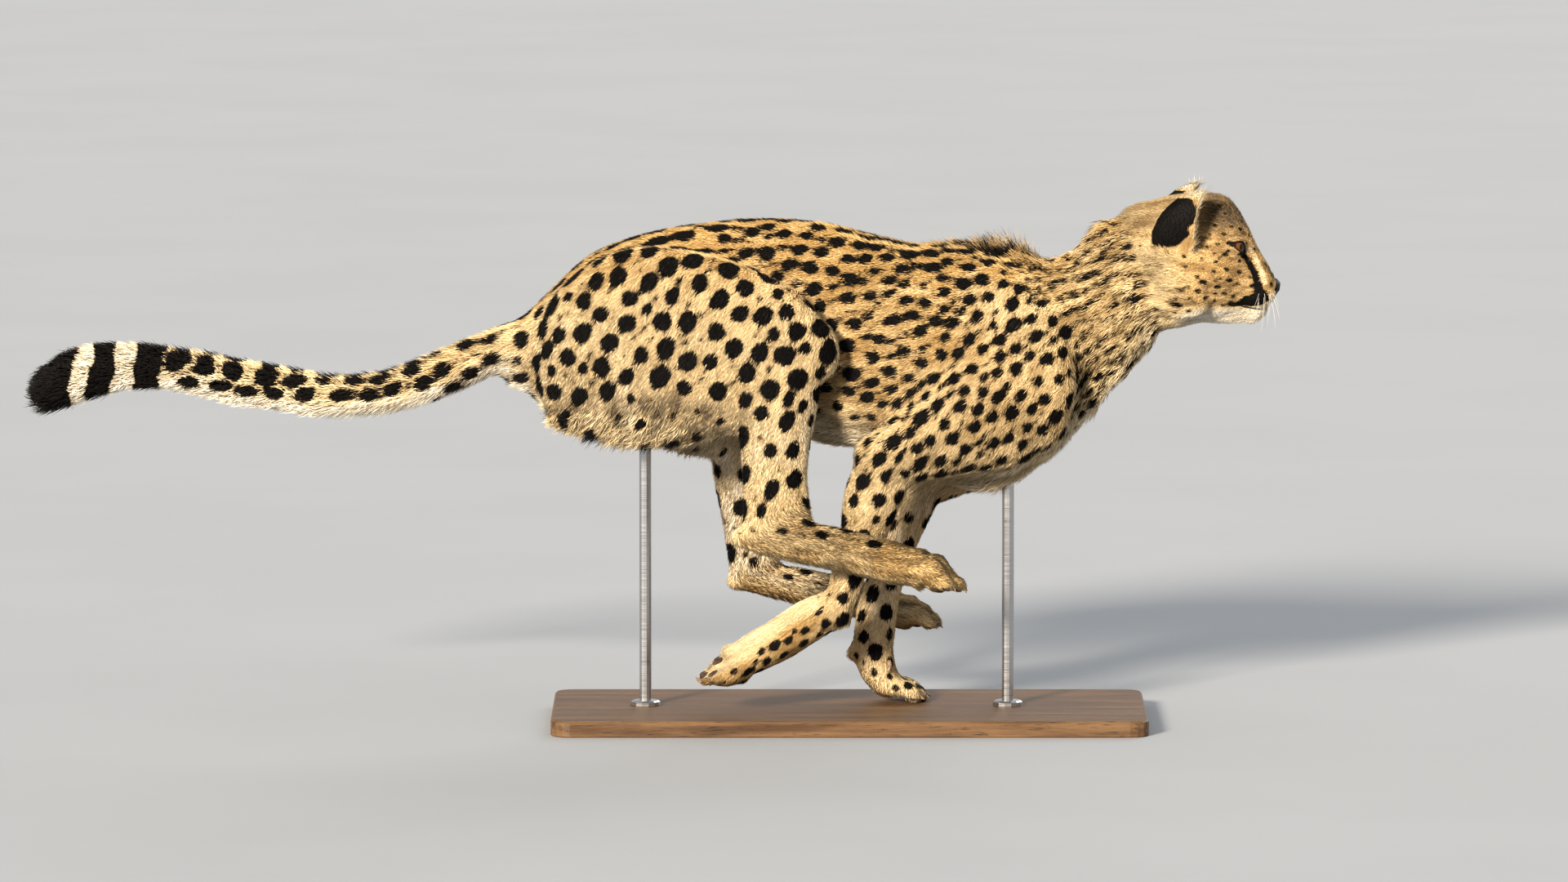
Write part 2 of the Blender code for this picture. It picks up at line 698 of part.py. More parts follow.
def part_body(body):
    """Cuts the flesh into its named pieces and returns them by name."""
    pieces = {"body": body}
    for name, origin, middle, facing, half_sizes in CUTS[:BODY_CUTS]:
        cut_off(pieces, name, origin, middle, facing, half_sizes)
    for name, side, outline, wall in LIMB_CUTS:
        block = prism(outline, side, wall, 0)
        limb = new_object(name, pieces["body"].data.copy())
        pieces[name] = keep_largest(cut_with(limb, block, "INTERSECT"), name)
        bpy.data.objects.remove(block)
        block = prism(outline, side, wall, LIMB_GAP)
        pieces["body"] = keep_largest(cut_with(pieces["body"], block), "body", LIMB_SLIVER)
        bpy.data.objects.remove(block)
    for name, origin, middle, facing, half_sizes in CUTS[BODY_CUTS:]:
        cut_off(pieces, name, origin, middle, facing, half_sizes)
    pieces["chest"] = pieces.pop("body")
    pieces["chest"].name = "chest"
    return pieces


def trim_limbs(pieces):
    """Cuts the limbs' walls once more, since thinning moves a wall's edges a little."""
    for name, side, outline, wall in LIMB_CUTS:
        block = prism(outline, side, wall, 0)
        pieces[name] = keep_largest(cut_with(pieces[name], block, "INTERSECT"), name)
        bpy.data.objects.remove(block)
        block = prism(outline, side, wall, LIMB_GAP)
        for other in ("rump", "loin") if name.startswith("thigh") else ("chest", "neck"):
            pieces[other] = keep_largest(cut_with(pieces[other], block), other)
        bpy.data.objects.remove(block)


def set_down(paw):
    """Flattens the sole of the paw that stands, a hair above the base."""
    for vertex in paw.data.vertices:
        vertex.co.z = max(vertex.co.z, (GROUND + SOLE_ROOM) * MM)


def cut_off(pieces, name, origin, middle, facing, half_sizes):
    """Parts one piece in two by a thin plate. The side that facing points to gets the new name."""
    tool = slab(middle, facing, half_sizes)
    parts = sorted(loose_parts(cut_with(pieces[origin], tool)), key=volume)
    bpy.data.objects.remove(tool)
    for part in parts[:-2]:
        if volume(part) > THIN_CUT_SLIVER:
            raise RuntimeError(f"{name}: a loose body of {volume(part):.0f} mm3 at {middle_of(part)}")
        bpy.data.objects.remove(part)
    if len(parts) < 2:
        raise RuntimeError(f"{name}: the cut does not part it")
    parts = sorted(parts[-2:], key=lambda part: (middle_of(part) - Vector(middle)).dot(Vector(facing)))
    pieces[origin], pieces[name] = parts
    parts[0].name, parts[1].name = origin, name


def grown(obj, distance):
    """A copy of an object pushed outward by distance, for cutting a seat with room around it."""
    copy = new_object("cutter", obj.data.copy())
    copy.hide_render = True
    copy.display_type = "WIRE"
    mesh = bmesh.new()
    mesh.from_mesh(copy.data)
    mesh.normal_update()
    for vertex in mesh.verts:
        vertex.co += vertex.normal * distance * MM
    mesh.to_mesh(copy.data)
    mesh.free()
    return copy


def seat(part, bed):
    """Cuts a seat with room around it for one part into another."""
    room = grown(part, SEAT_GAP)
    name = bed.name
    made = keep_largest(cut_with(bed, room), name, 60)
    bpy.data.objects.remove(room)
    return made


def solid(name, build):
    """A new object from a function that fills a bmesh."""
    mesh = bmesh.new()
    build(mesh)
    bmesh.ops.recalc_face_normals(mesh, faces=mesh.faces)
    data = bpy.data.meshes.new(name)
    mesh.to_mesh(data)
    mesh.free()
    return new_object(name, data)


def ear_grid(side, inward):
    """Points of an ear's cupped wall: rows from root to tip, each from one rim round the back."""
    root, tip = Vector(EAR_ROOT), Vector(EAR_TIP)
    rows = []
    for v in np.linspace(0, 1, 10):
        middle = root.lerp(tip, v) + Vector((-2, 3, 0)) * math.sin(math.pi * v)
        half_width = 27 * math.sqrt(1 - ((v - 0.45) / 0.58) ** 2) - inward * EAR_WALL
        depth = 50 * math.sqrt(1 - ((v - 0.4) / 0.64) ** 2) - inward * EAR_WALL
        reach = math.radians(84 + 34 * (1 - v) ** 2)
        row = []
        for turn in np.linspace(-reach, reach, 13):
            point = middle + Vector((-depth * math.cos(turn), half_width * math.sin(turn), 0))
            point.x += 0.12 * half_width * math.sin(turn)
            row.append(Vector((point.x, side * point.y, point.z)))
        rows.append(row)
    return rows


def make_ear(side):
    """A rounded, cupped ear that opens forward."""

    def build(mesh):
        walls = []
        for inward in (0, 1):
            walls.append([[mesh.verts.new(p * MM) for p in row] for row in ear_grid(side, inward)])
        outer, inner = walls
        for wall in walls:
            for low, high in zip(wall, wall[1:]):
                for i in range(len(low) - 1):
                    mesh.faces.new((low[i], low[i + 1], high[i + 1], high[i]))
        for i in range(len(outer[0]) - 1):
            for k in (0, -1):
                mesh.faces.new((outer[k][i], outer[k][i + 1], inner[k][i + 1], inner[k][i]))
        for k in range(len(outer) - 1):
            for i in (0, -1):
                mesh.faces.new((outer[k][i], outer[k + 1][i], inner[k + 1][i], inner[k][i]))

    return solid("ear_left" if side > 0 else "ear_right", build)


def claw_sections(tip, way, back, size=1.0, bend=8.0):
    """A claw that leaves a toe forward and bends down to a point."""
    return [
        (*(tip - way * 6 * size), 3.4 * size, 4.2 * size, 3.8 * size),
        (*(tip + way * 4 * size - back * bend * 0.2), 2.4 * size, 2.9 * size, 2.6 * size),
        (*(tip + way * 9 * size - back * bend), 0.6, 0.7, 0.7),
    ]


def add_claws(pieces):
    """Four claws to a foot, and a dewclaw on the inner side of each forefoot."""
    for foot in FEET:
        leg, side = foot.split("_")
        paw = pieces[f"{leg}_paw_{side}"]
        for number, (root, way, back, length, droop) in enumerate(toe_frames(foot), 1):
            tip = root + way * length * 0.93 - back * (droop * 1.6 - 1.5)
            sections = claw_sections(tip, way, back, 1.0, 2.0 if foot == "fore_left" else 8.0)
            add_claw(f"claw_{leg}_{side}_{number}", sections, paw, way)
    for side, root, way, back in (
        ("right", (-56, -49, 142), (-0.75, 0.45, -0.45), (0.45, 0.2, -0.88)),
        ("left", (55, 27, 76), (0.35, -0.45, -0.75), (0.9, 0, 0.3)),
    ):
        way, back = Vector(way).normalized(), Vector(back).normalized()
        sections = claw_sections(Vector(root) + way * 2, way, back, 1.1)
        add_claw(f"claw_fore_{side}_dew", sections, pieces[f"fore_paw_{side}"], way)


def add_claw(name, sections, paw, way):
    claw = solid(name, lambda mesh: plain_tube(mesh, sections))
    cut_with(claw, paw)
    claw = keep_largest(claw, name, 12)
    claw.data.transform(Matrix.Translation(way * SEAT_GAP * MM))
    claw["stuff"] = "claw"


def add_face_parts(pieces):
    """Eyes and nose, each seated in the head with a little room."""
    x, y, z = EYE_PLACE
    for side, name in ((1, "eye_left"), (-1, "eye_right")):
        place = Matrix.Translation(Vector((x, side * y, z)) * MM)
        eye = solid(
            name,
            lambda mesh: bmesh.ops.create_uvsphere(
                mesh, u_segments=12, v_segments=7, radius=EYE_RADIUS * MM, matrix=place
            ),
        )
        eye["stuff"] = "eye"
        pieces["head"] = seat(eye, pieces["head"])
    nose = solid("nose", lambda mesh: blob(mesh, (570.5, 0, 590), (10.5, 14.5, 10.5), (0, -15, 0)))
    nose["stuff"] = "nose"
    thin_out(nose)
    pieces["head"] = seat(nose, pieces["head"])


def add_ears(pieces):
    for side in (1, -1):
        ear = make_ear(side)
        thin_out(ear)
        name = ear.name
        cut_with(ear, pieces["head"])
        ear = keep_largest(ear, name, 2500)
        ear.data.transform(Matrix.Translation(Vector((0.2, 0.25 * side, 0.4)) * MM))


def cylinder(mesh, x, low, high, radius, sides=20):
    place = Matrix.Translation(Vector((x, 0, (low + high) / 2)) * MM)
    bmesh.ops.create_cone(
        mesh,
        cap_ends=True,
        segments=sides,
        radius1=radius * MM,
        radius2=radius * MM,
        depth=(high - low) * MM,
        matrix=place,
    )


def turned_rod(mesh, x, top):
    """A round rod with a low round foot, as one body."""
    profile = [(GROUND + rise, radius) for rise, radius in ROD_FOOT]
    profile.append((top, ROD_RADIUS))
    around = np.linspace(0, 2 * math.pi, 14, endpoint=False)
    rings = [[(x + r * c, r * s, z) for c, s in zip(np.cos(around), np.sin(around))] for z, r in profile]
    skin_rings(mesh, rings)


def stand_board(mesh):
    """The base: a board with rounded corners and softened edges."""
    half_x, half_y, corner = BASE_LENGTH / 2, BASE_WIDTH / 2, 26.0
    rings = []
    for z, inset in ((0, 1.5), (1.5, 0), (GROUND - 2.5, 0), (GROUND, 2.5)):
        ring = []
        for quarter in range(4):
            sign_x, sign_y = ((1, 1), (-1, 1), (-1, -1), (1, -1))[quarter]
            for step in range(5):
                angle = math.radians(90 * quarter + 22.5 * step)
                ring.append(
                    (
                        sign_x * (half_x - corner) + (corner - inset) * math.cos(angle),
                        sign_y * (half_y - corner) + (corner - inset) * math.sin(angle),
                        z,
                    )
                )
        rings.append(ring)
    made = [[mesh.verts.new(Vector(p) * MM) for p in ring] for ring in rings]
    count = len(made[0])
    for first, second in zip(made, made[1:]):
        for i in range(count):
            j = (i + 1) % count
            mesh.faces.new((first[i], first[j], second[j], second[i]))
    mesh.faces.new(made[0][::-1])
    mesh.faces.new(made[-1])


def add_stand(pieces):
    """The board and its two rods, and holes with room for the rods in the animal."""
    board = solid("stand_base", stand_board)
    board["stuff"] = "wood"
    for name, x, underside, near in (
        ("stand_rod_front", ROD_FRONT_X, 321, ("chest",)),
        ("stand_rod_rear", ROD_REAR_X, 418, ("rump", "thigh_right", "thigh_left")),
    ):
        top = underside + ROD_IN_BODY
        rod = solid(name, lambda mesh: turned_rod(mesh, x, top))
        rod["stuff"] = "steel"
        hole = bmesh.new()
        cylinder(hole, x, GROUND, top + SEAT_GAP, ROD_RADIUS + SEAT_GAP)
        hole = tool_from(hole)
        for piece in near:
            pieces[piece] = keep_largest(cut_with(pieces[piece], hole), piece, 100)
        bpy.data.objects.remove(hole)


def material(name, colour, roughness, metallic):
    made = bpy.data.materials.new(name)
    made.use_nodes = True
    shader = made.node_tree.nodes["Principled BSDF"]
    shader.inputs["Base Color"].default_value = (*colour, 1)
    shader.inputs["Roughness"].default_value = roughness
    shader.inputs["Metallic"].default_value = metallic
    made.diffuse_color = (*colour, 1)
    return made


def finish():
    """Triangulates every piece and gives each its own material."""
    looks = {"nose": DARK_SKIN, "eye": EYE, "claw": CLAW, "wood": WOOD, "steel": STEEL}
    for obj in bpy.data.objects:
        mesh = bmesh.new()
        mesh.from_mesh(obj.data)
        bmesh.ops.remove_doubles(mesh, verts=mesh.verts, dist=0.00005)
        bmesh.ops.dissolve_degenerate(mesh, dist=0.00002, edges=mesh.edges)
        bmesh.ops.triangulate(mesh, faces=mesh.faces)
        mesh.to_mesh(obj.data)
        mesh.free()
        name, colour, roughness, metallic = looks.get(obj.get("stuff"), COAT)
        obj.data.materials.clear()
        obj.data.materials.append(material(f"{name}_{obj.name}", colour, roughness, metallic))


def main():
    for obj in list(bpy.data.objects):
        bpy.data.objects.remove(obj)
    pieces = part_body(make_flesh())
    for piece in pieces.values():
        thin_out(piece)
    trim_limbs(pieces)
    set_down(pieces["fore_paw_left"])
    add_face_parts(pieces)
    add_ears(pieces)
    add_claws(pieces)
    add_stand(pieces)
    finish()


main()
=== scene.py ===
"""The looks of a running cheetah on a display stand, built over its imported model.

One skin replaces the pieces of flesh. Tufts of hair, claws, pads, eyes and whiskers are built on it,
and skin and hair carry the same spots. Lengths named in the code are in millimetres, and points are
in the model's own frame: +X towards the head, +Z up, and the animal's right side towards -Y.
"""

import math

import bmesh
import bpy
import numpy as np
from mathutils import Matrix, Vector, kdtree, noise
from mathutils.bvhtree import BVHTree


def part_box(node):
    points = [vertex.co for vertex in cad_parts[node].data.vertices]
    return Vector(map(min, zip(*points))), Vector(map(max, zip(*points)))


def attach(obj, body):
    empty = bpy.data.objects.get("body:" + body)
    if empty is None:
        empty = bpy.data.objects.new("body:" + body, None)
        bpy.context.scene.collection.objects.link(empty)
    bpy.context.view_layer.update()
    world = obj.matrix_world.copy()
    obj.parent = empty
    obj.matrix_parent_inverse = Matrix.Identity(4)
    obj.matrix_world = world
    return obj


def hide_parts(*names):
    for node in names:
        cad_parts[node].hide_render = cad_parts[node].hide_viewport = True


bl_info = {
    "name": "Running cheetah",
    "version": (1, 0, 0),
    "blender": (4, 5, 0),
    "location": "3D View > Sidebar > Cheetah",
    "description": "Builds the skin, coat, eyes, claws and stand of a running cheetah",
    "category": "Object",
}

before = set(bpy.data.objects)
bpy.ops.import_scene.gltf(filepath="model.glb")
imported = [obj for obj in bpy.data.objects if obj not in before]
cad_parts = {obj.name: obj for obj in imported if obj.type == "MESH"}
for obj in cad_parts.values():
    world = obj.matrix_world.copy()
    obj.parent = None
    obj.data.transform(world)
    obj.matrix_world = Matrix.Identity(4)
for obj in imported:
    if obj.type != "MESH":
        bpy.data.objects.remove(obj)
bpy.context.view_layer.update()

MM = 0.001

# Points closer than this, in metres, are one.
SAME_PLACE = 1e-6

SIDES = ("left", "right")
TAIL = ("tail_base", "tail_2", "tail_3", "tail_4", "tail_tip")
TRUNK = ("neck", "chest", "loin", "rump")
FORELIMB = ("upper_arm", "forearm", "fore_paw")
HINDLIMB = ("thigh", "shank", "metatarsus", "hind_paw")
PAWS = tuple(f"{foot}_{side}" for foot in ("fore_paw", "hind_paw") for side in SIDES)
LIMBS = tuple(f"{part}_{side}" for part in FORELIMB + HINDLIMB for side in SIDES)
EARS = ("ear_left", "ear_right")
FLESH = ("head", "nose") + EARS + TRUNK + TAIL + LIMBS
CLAWS = tuple(sorted(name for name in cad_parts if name.startswith("claw_")))


def stem(name):
    """A node's name without its side."""
    return name.replace("_left", "").replace("_right", "")


def at(node, x, y, z):
    """A point in a node's box in millimetres, by the share of the way along each of its sides."""
    low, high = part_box(node)
    return np.array([low[i] + (high[i] - low[i]) * s for i, s in enumerate((x, y, z))]) / MM


def middle(node):
    return at(node, 0.5, 0.5, 0.5)


def on_parts(parts, names):
    """Whether each point's place in FLESH is that of one of the names."""
    return np.isin(parts, [FLESH.index(name) for name in names])


def mound(points, centre, radii):
    """1 at a centre and 0 past an oval of given half widths round it, for each point."""
    away = np.linalg.norm((points - centre) / np.asarray(radii, float), axis=1)
    return np.clip(1 - away * away, 0, 1)


def unit(vector):
    vector = np.asarray(vector, float)
    return vector / np.maximum(np.linalg.norm(vector, axis=-1, keepdims=True), 1e-9)


def fade(values, start, end):
    """0 before start and 1 past end, with a smooth change between them."""
    share = np.clip((values - start) / (end - start), 0, 1)
    return share * share * (3 - 2 * share)


# Depth of the coat over the skin, length and width of a tuft, and room between tufts.
COAT = {
    "nose": (0.2, 3, 0.8, 4.0),
    "head": (2.4, 6.0, 0.85, 1.25),
    "ear": (0.7, 6, 0.8, 1.3),
    "neck": (5.2, 16, 1.6, 2.0),
    "chest": (4.2, 12, 1.5, 2.05),
    "loin": (3.8, 11, 1.5, 2.0),
    "rump": (3.8, 11, 1.5, 2.0),
    "tail_base": (4.5, 13, 1.55, 2.1),
    "tail_2": (5.5, 16, 1.6, 2.12),
    "tail_3": (6.2, 18, 1.7, 2.15),
    "tail_4": (7, 19, 1.7, 2.2),
    "tail_tip": (7.5, 22, 1.75, 2.2),
    "upper_arm": (3.8, 11, 1.5, 2.0),
    "forearm": (2.9, 9, 1.35, 1.9),
    "fore_paw": (1.8, 7.5, 1.1, 1.65),
    "thigh": (3.6, 10.5, 1.5, 2.0),
    "shank": (3.0, 9.5, 1.4, 1.95),
    "metatarsus": (2.8, 11, 1.35, 1.8),
    "hind_paw": (2.0, 9, 1.2, 1.65),
}

# The lie of the coat on each part. Left and right differ only in the sign of Y.
LIE = {
    "nose": (-1, 0, 0.3),
    "head": (-1, 0, 0.05),
    "ear": (0.3, 0.3, 0.9),
    "neck": (-0.86, 0, -0.5),
    "chest": (-1, 0, -0.2),
    "loin": (-1, 0, -0.12),
    "rump": (-0.9, 0, -0.38),
    "upper_arm": (-0.62, 0, -0.78),
    "thigh": (-0.55, 0, -0.83),
    "shank": (-0.35, 0, -0.93),
    "metatarsus": (0.95, 0, -0.3),
    "hind_paw": (0.95, 0, -0.3),
}

# Tone of the ground colour: 0 is tawny, 1 is cream and 2 is white.
TONE = {
    "nose": 0.0,
    "head": 0.25,
    "ear": 0.6,
    "neck": 0.62,
    "chest": 0.32,
    "loin": 0.25,
    "rump": 0.6,
    "tail_base": 0.7,
    "tail_2": 0.85,
    "tail_3": 1.0,
    "tail_4": 1.2,
    "tail_tip": 1.6,
    "upper_arm": 0.7,
    "forearm": 0.95,
    "fore_paw": 0.25,
    "thigh": 1.0,
    "shank": 1.2,
    "metatarsus": 0.5,
    "hind_paw": 0.25,
}

# Spots: half their width, how much longer they are than wide, and the bare gap between two.
SPOTS = {
    "head": (2.7, 1.25, 7.0),
    "neck": (6.3, 1.2, 4.2),
    "chest": (8.8, 1.0, 3.7),
    "loin": (9.6, 1.08, 3.7),
    "rump": (11.4, 1.2, 4.2),
    "tail_base": (10.2, 1.3, 5.5),
    "upper_arm": (9.2, 1.05, 3.8),
    "forearm": (9.0, 1.2, 6.6),
    "fore_paw": (6.6, 1.1, 3.4),
    "thigh": (12.6, 1.12, 4.8),
    "shank": (11.2, 1.35, 6.6),
    "metatarsus": (7.4, 1.4, 5.5),
    "hind_paw": (3.0, 1.1, 13),
}

# The sizes that spots come in, as shares of the part's usual one, with the share of the gap each keeps.
SPOT_SIZES = ((0.84, 1.16, 1.0), (0.6, 0.8, 0.95), (0.28, 0.4, 1.0))


def part_lie(name):
    """The lie of the coat on a part, from the table or along the limb or tail."""
    side = 1 if name.endswith("left") else -1
    if stem(name) in LIE:
        x, y, z = LIE[stem(name)]
        return unit((x, y * side, z))
    if name in TAIL:
        line = ("rump",) + TAIL
        place = line.index(name)
        return unit(middle(line[min(place + 1, len(line) - 1)]) - middle(line[place - 1]))
    end = "_left" if side > 0 else "_right"
    if name.startswith("forearm"):
        return unit(middle("fore_paw" + end) - middle("upper_arm" + end))
    return unit(middle(name) - middle("forearm" + end))


# ---------------------------------------------------------------- meshes as arrays


def rows(items, key, wide, kind=np.float32):
    """A property of every item, as rows of so many numbers."""
    values = np.empty(len(items) * wide, kind)
    items.foreach_get(key, values)
    return values.reshape(-1, wide)


def point_array(mesh):
    return rows(mesh.vertices, "co", 3).astype(float)


def normal_array(mesh):
    return rows(mesh.vertex_normals, "vector", 3).astype(float)


def edge_array(mesh):
    return rows(mesh.edges, "vertices", 2, np.int32)


def triangle_array(mesh):
    mesh.calc_loop_triangles()
    return rows(mesh.loop_triangles, "vertices", 3, np.int32)


def put_points(mesh, points):
    mesh.vertices.foreach_set("co", np.asarray(points, np.float32).ravel())
    mesh.update()


def put_attribute(mesh, name, values):
    """Stores one number, or three, for each point."""
    values = np.asarray(values, np.float32)
    kind, key = ("FLOAT", "value") if values.ndim == 1 else ("FLOAT_VECTOR", "vector")
    found = mesh.attributes.get(name) or mesh.attributes.new(name, kind, "POINT")
    found.data.foreach_set(key, values.ravel())


def get_attribute(mesh, name):
    """The stored number, or three, of each point."""
    found = mesh.attributes[name]
    if found.data_type == "FLOAT_VECTOR":
        return rows(found.data, "vector", 3).astype(float)
    return rows(found.data, "value", 1).ravel().astype(float)


def spread(values, ends, rounds, weight=1.0, pull=None):
    """Averages values between neighbouring points, a given number of times.

    weight is how far each point gives way, and pull how much each edge counts."""
    flat = values.ndim == 1
    values = values[:, None] if flat else values
    count = len(values)
    pull = np.ones(len(ends)) if pull is None else pull
    near = np.bincount(ends[:, 0], pull, count) + np.bincount(ends[:, 1], pull, count)
    near = np.maximum(near, 1e-6)
    weight = np.broadcast_to(weight, (count,))
    for _ in range(rounds):
        moved = np.empty_like(values)
        for axis in range(values.shape[1]):
            column = values[:, axis]
            total = np.bincount(ends[:, 0], column[ends[:, 1]] * pull, count)
            total += np.bincount(ends[:, 1], column[ends[:, 0]] * pull, count)
            moved[:, axis] = column + (total / near - column) * weight
        values = moved
    return values[:, 0] if flat else values


def swirls(points, scale):
    """A soft chance direction at each point, the finer the larger the scale."""
    return np.array([noise.noise_vector(Vector(point) * scale) for point in points])


def along_skin(directions, normals):
    """Directions laid flat on the skin."""
    return unit(directions - (directions * normals).sum(axis=1, keepdims=True) * normals)


# The sizes that locks of hair come in: rounds of spreading, how far it also goes across the lie, and
# the size's share.
LOCK_SIZES = ((8, 0.004, 0.55), (26, 0.05, 0.85))


def streaks(points, ends, lie, rng):
    """Chance values from 0 to 1, drawn out along the lie: the locks of the coat."""
    way = unit(points[ends[:, 1]] - points[ends[:, 0]])
    along = np.abs((way * (lie[ends[:, 0]] + lie[ends[:, 1]])).sum(axis=1) / 2)
    total = np.zeros(len(points))
    for rounds, drift, share in LOCK_SIZES:
        values = spread(rng.random(len(points)), ends, rounds, 1.0, along**8 + drift)
        total += (values - values.mean()) / values.std() * share
    return np.clip(0.5 + total * 0.26, 0, 1)


def point_tree(points):
    """A search tree over points, in metres."""
    tree = kdtree.KDTree(len(points))
    for index, point in enumerate(points.tolist()):
        tree.insert(point, index)
    tree.balance()
    return tree


# More rounds than it takes for a label to reach all of the skin.
MOST_ROUNDS = 400


def largest_body(mesh):
    """Removes every body of a mesh but the one with most points."""
    ends = edge_array(mesh)
    label = np.arange(len(mesh.vertices))
    for _ in range(MOST_ROUNDS):
        before = label.copy()
        np.minimum.at(label, ends[:, 0], before[ends[:, 1]])
        np.minimum.at(label, ends[:, 1], before[ends[:, 0]])
        label = label[label]
        if np.array_equal(label, before):
            break
    keep = np.bincount(label).argmax()
    body = bmesh.new()
    body.from_mesh(mesh)
    body.verts.ensure_lookup_table()
    lost = [body.verts[i] for i in np.flatnonzero(label != keep)]
    bmesh.ops.delete(body, geom=lost, context="VERTS")
    body.to_mesh(mesh)
    body.free()


def place(name, mesh):
    obj = bpy.data.objects.new(name, mesh)
    bpy.context.scene.collection.objects.link(obj)
    return obj


def as_mesh(body, name):
    """A mesh with what a bmesh holds. The bmesh is freed."""
    mesh = bpy.data.meshes.new(name)
    body.to_mesh(mesh)
    body.free()
    return mesh


def joined(name, nodes, swollen=0.0):
    """One object made of copies of nodes, each pushed outward by some millimetres."""
    body = bmesh.new()
    for node in nodes:
        part = bmesh.new()
        part.from_mesh(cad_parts[node].data)
        bmesh.ops.remove_doubles(part, verts=part.verts, dist=SAME_PLACE)
        part.normal_update()
        for vertex in part.verts:
            vertex.co += vertex.normal * swollen * MM
        mesh = as_mesh(part, "part")
        body.from_mesh(mesh)
        bpy.data.meshes.remove(mesh)
    return place(name, as_mesh(body, name))


def applied(obj):
    """Turns an object's modifiers into plain mesh."""
    graph = bpy.context.evaluated_depsgraph_get()
    made = bpy.data.meshes.new_from_object(obj.evaluated_get(graph))
    obj.modifiers.clear()
    obj.data = made
    return obj


def distance_to_path(points, path):
    """Each point's distance to a line of straight runs, and the share of the way along it."""
    path = np.asarray(path, float)
    runs = np.linalg.norm(np.diff(path, axis=0), axis=1)
    starts = np.concatenate([[0], np.cumsum(runs)])
    best = np.full(len(points), 1e9)
    along = np.zeros(len(points))
    for i, run in enumerate(runs):
        step = (path[i + 1] - path[i]) / run
        share = np.clip((points - path[i]) @ step, 0, run)
        away = np.linalg.norm(points - path[i] - share[:, None] * step, axis=1)
        near = away < best
        best = np.where(near, away, best)
        along = np.where(near, starts[i] + share, along)
    return best, along / starts[-1]


def mirrored(point):
    return np.array([(x, -y, z) for x, y, z in np.atleast_2d(point)]).reshape(np.shape(point))


# ---------------------------------------------------------------- settings


def colour(name, description, default):
    return bpy.props.FloatVectorProperty(
        name=name, description=description, subtype="COLOR", default=default
    )


def length(name, description, default):
    return bpy.props.FloatProperty(name=name, description=description, unit="LENGTH", default=default)


class CheetahCoat(bpy.types.PropertyGroup):
    """Colours of the coat and the size of its tufts."""

    tawny: colour("Tawny", "Back and shoulders", (0.60, 0.40, 0.165))
    cream: colour("Cream", "Flanks and legs", (0.91, 0.74, 0.46))
    white: colour("White", "Belly and chin", (0.95, 0.89, 0.76))
    black: colour("Black", "Spots and rings", (0.007, 0.0055, 0.005))
    tuft_length: bpy.props.FloatProperty(
        name="Tuft length", description="Share of the usual length", default=1.0, min=0.3, max=1.6
    )
    tuft_room: bpy.props.FloatProperty(
        name="Tuft room", description="Room between tufts, by share", default=1.01, min=0.7, max=3
    )
    seed: bpy.props.IntProperty(name="Seed", description="Seed of spots and tufts", default=7, min=1)


class CheetahHead(bpy.types.PropertyGroup):
    """Sizes of the eyes, lids and whiskers."""

    eye_half_width: length("Eye half width", "Half the length of the slit between the lids", 12.6 * MM)
    eye_half_height: length("Eye half height", "Half the height of the slit between the lids", 4.7 * MM)
    # The iris is darkened from amber to a dark orange-brown as painted shade over the eye.
    iris: colour("Iris", "Colour of the iris", (0.13, 0.05, 0.013))
    whisker_length: length("Whisker length", "Longest whisker", 42 * MM)
    whisker_radius: length("Whisker radius", "At the root", 0.32 * MM)


class CheetahStage(bpy.types.PropertyGroup):
    """Camera, lights and floor."""

    distance: length("Camera distance", "To the animal", 14.0)
    elevation: bpy.props.FloatProperty(
        name="Camera height angle",
        description="Angle the camera looks down at",
        default=math.radians(6),
        subtype="ANGLE",
    )
    frame_width: length("Frame width", "Width in view at the animal", 2.112)
    floor: colour("Floor", "Colour of the floor", (0.42, 0.44, 0.47))


# ---------------------------------------------------------------- shader groups


def node_group(name, tree_kind, sockets):
    """An empty group of nodes with named sockets, each (name, way, kind), and the nodes at its two ends."""
    group = bpy.data.node_groups.new(name, tree_kind)
    for label, way, kind in sockets:
        group.interface.new_socket(label, in_out=way, socket_type="NodeSocket" + kind)
    ends = group.nodes.new("NodeGroupInput"), group.nodes.new("NodeGroupOutput")
    return group, *ends


def maths(tree, operation, *values):
    """A Math node with numbers or sockets on its inputs. Returns its output."""
    node = tree.nodes.new("ShaderNodeMath")
    node.operation = operation
    for socket, value in zip(node.inputs, values):
        if isinstance(value, (int, float)):
            socket.default_value = value
        else:
            tree.links.new(value, socket)
    return node.outputs[0]


def ranged(tree, value, low, high, to_low=0.0, to_high=1.0):
    node = tree.nodes.new("ShaderNodeMapRange")
    node.interpolation_type = "SMOOTHSTEP"
    tree.links.new(value, node.inputs["Value"])
    for label, number in zip(("From Min", "From Max", "To Min", "To Max"), (low, high, to_low, to_high)):
        node.inputs[label].default_value = number
    return node.outputs["Result"]


def mixed(tree, share, first, second, blend="MIX"):
    """A colour Mix node with colours or sockets on its inputs. Returns its output."""
    node = tree.nodes.new("ShaderNodeMix")
    node.data_type = "RGBA"
    node.blend_type = blend
    for socket, value in ((node.inputs[0], share), (node.inputs[6], first), (node.inputs[7], second)):
        if isinstance(value, bpy.types.NodeSocket):
            tree.links.new(value, socket)
        elif isinstance(value, (int, float)):
            socket.default_value = value
        else:
            socket.default_value = (*value[:3], 1)
    return node.outputs[2]


def cell_node(tree, coordinates, scale, feature):
    """Distance within the cells of a Voronoi texture."""
    node = tree.nodes.new("ShaderNodeTexVoronoi")
    node.feature = feature
    node.inputs["Scale"].default_value = scale
    tree.links.new(coordinates, node.inputs["Vector"])
    return node.outputs["Distance"]


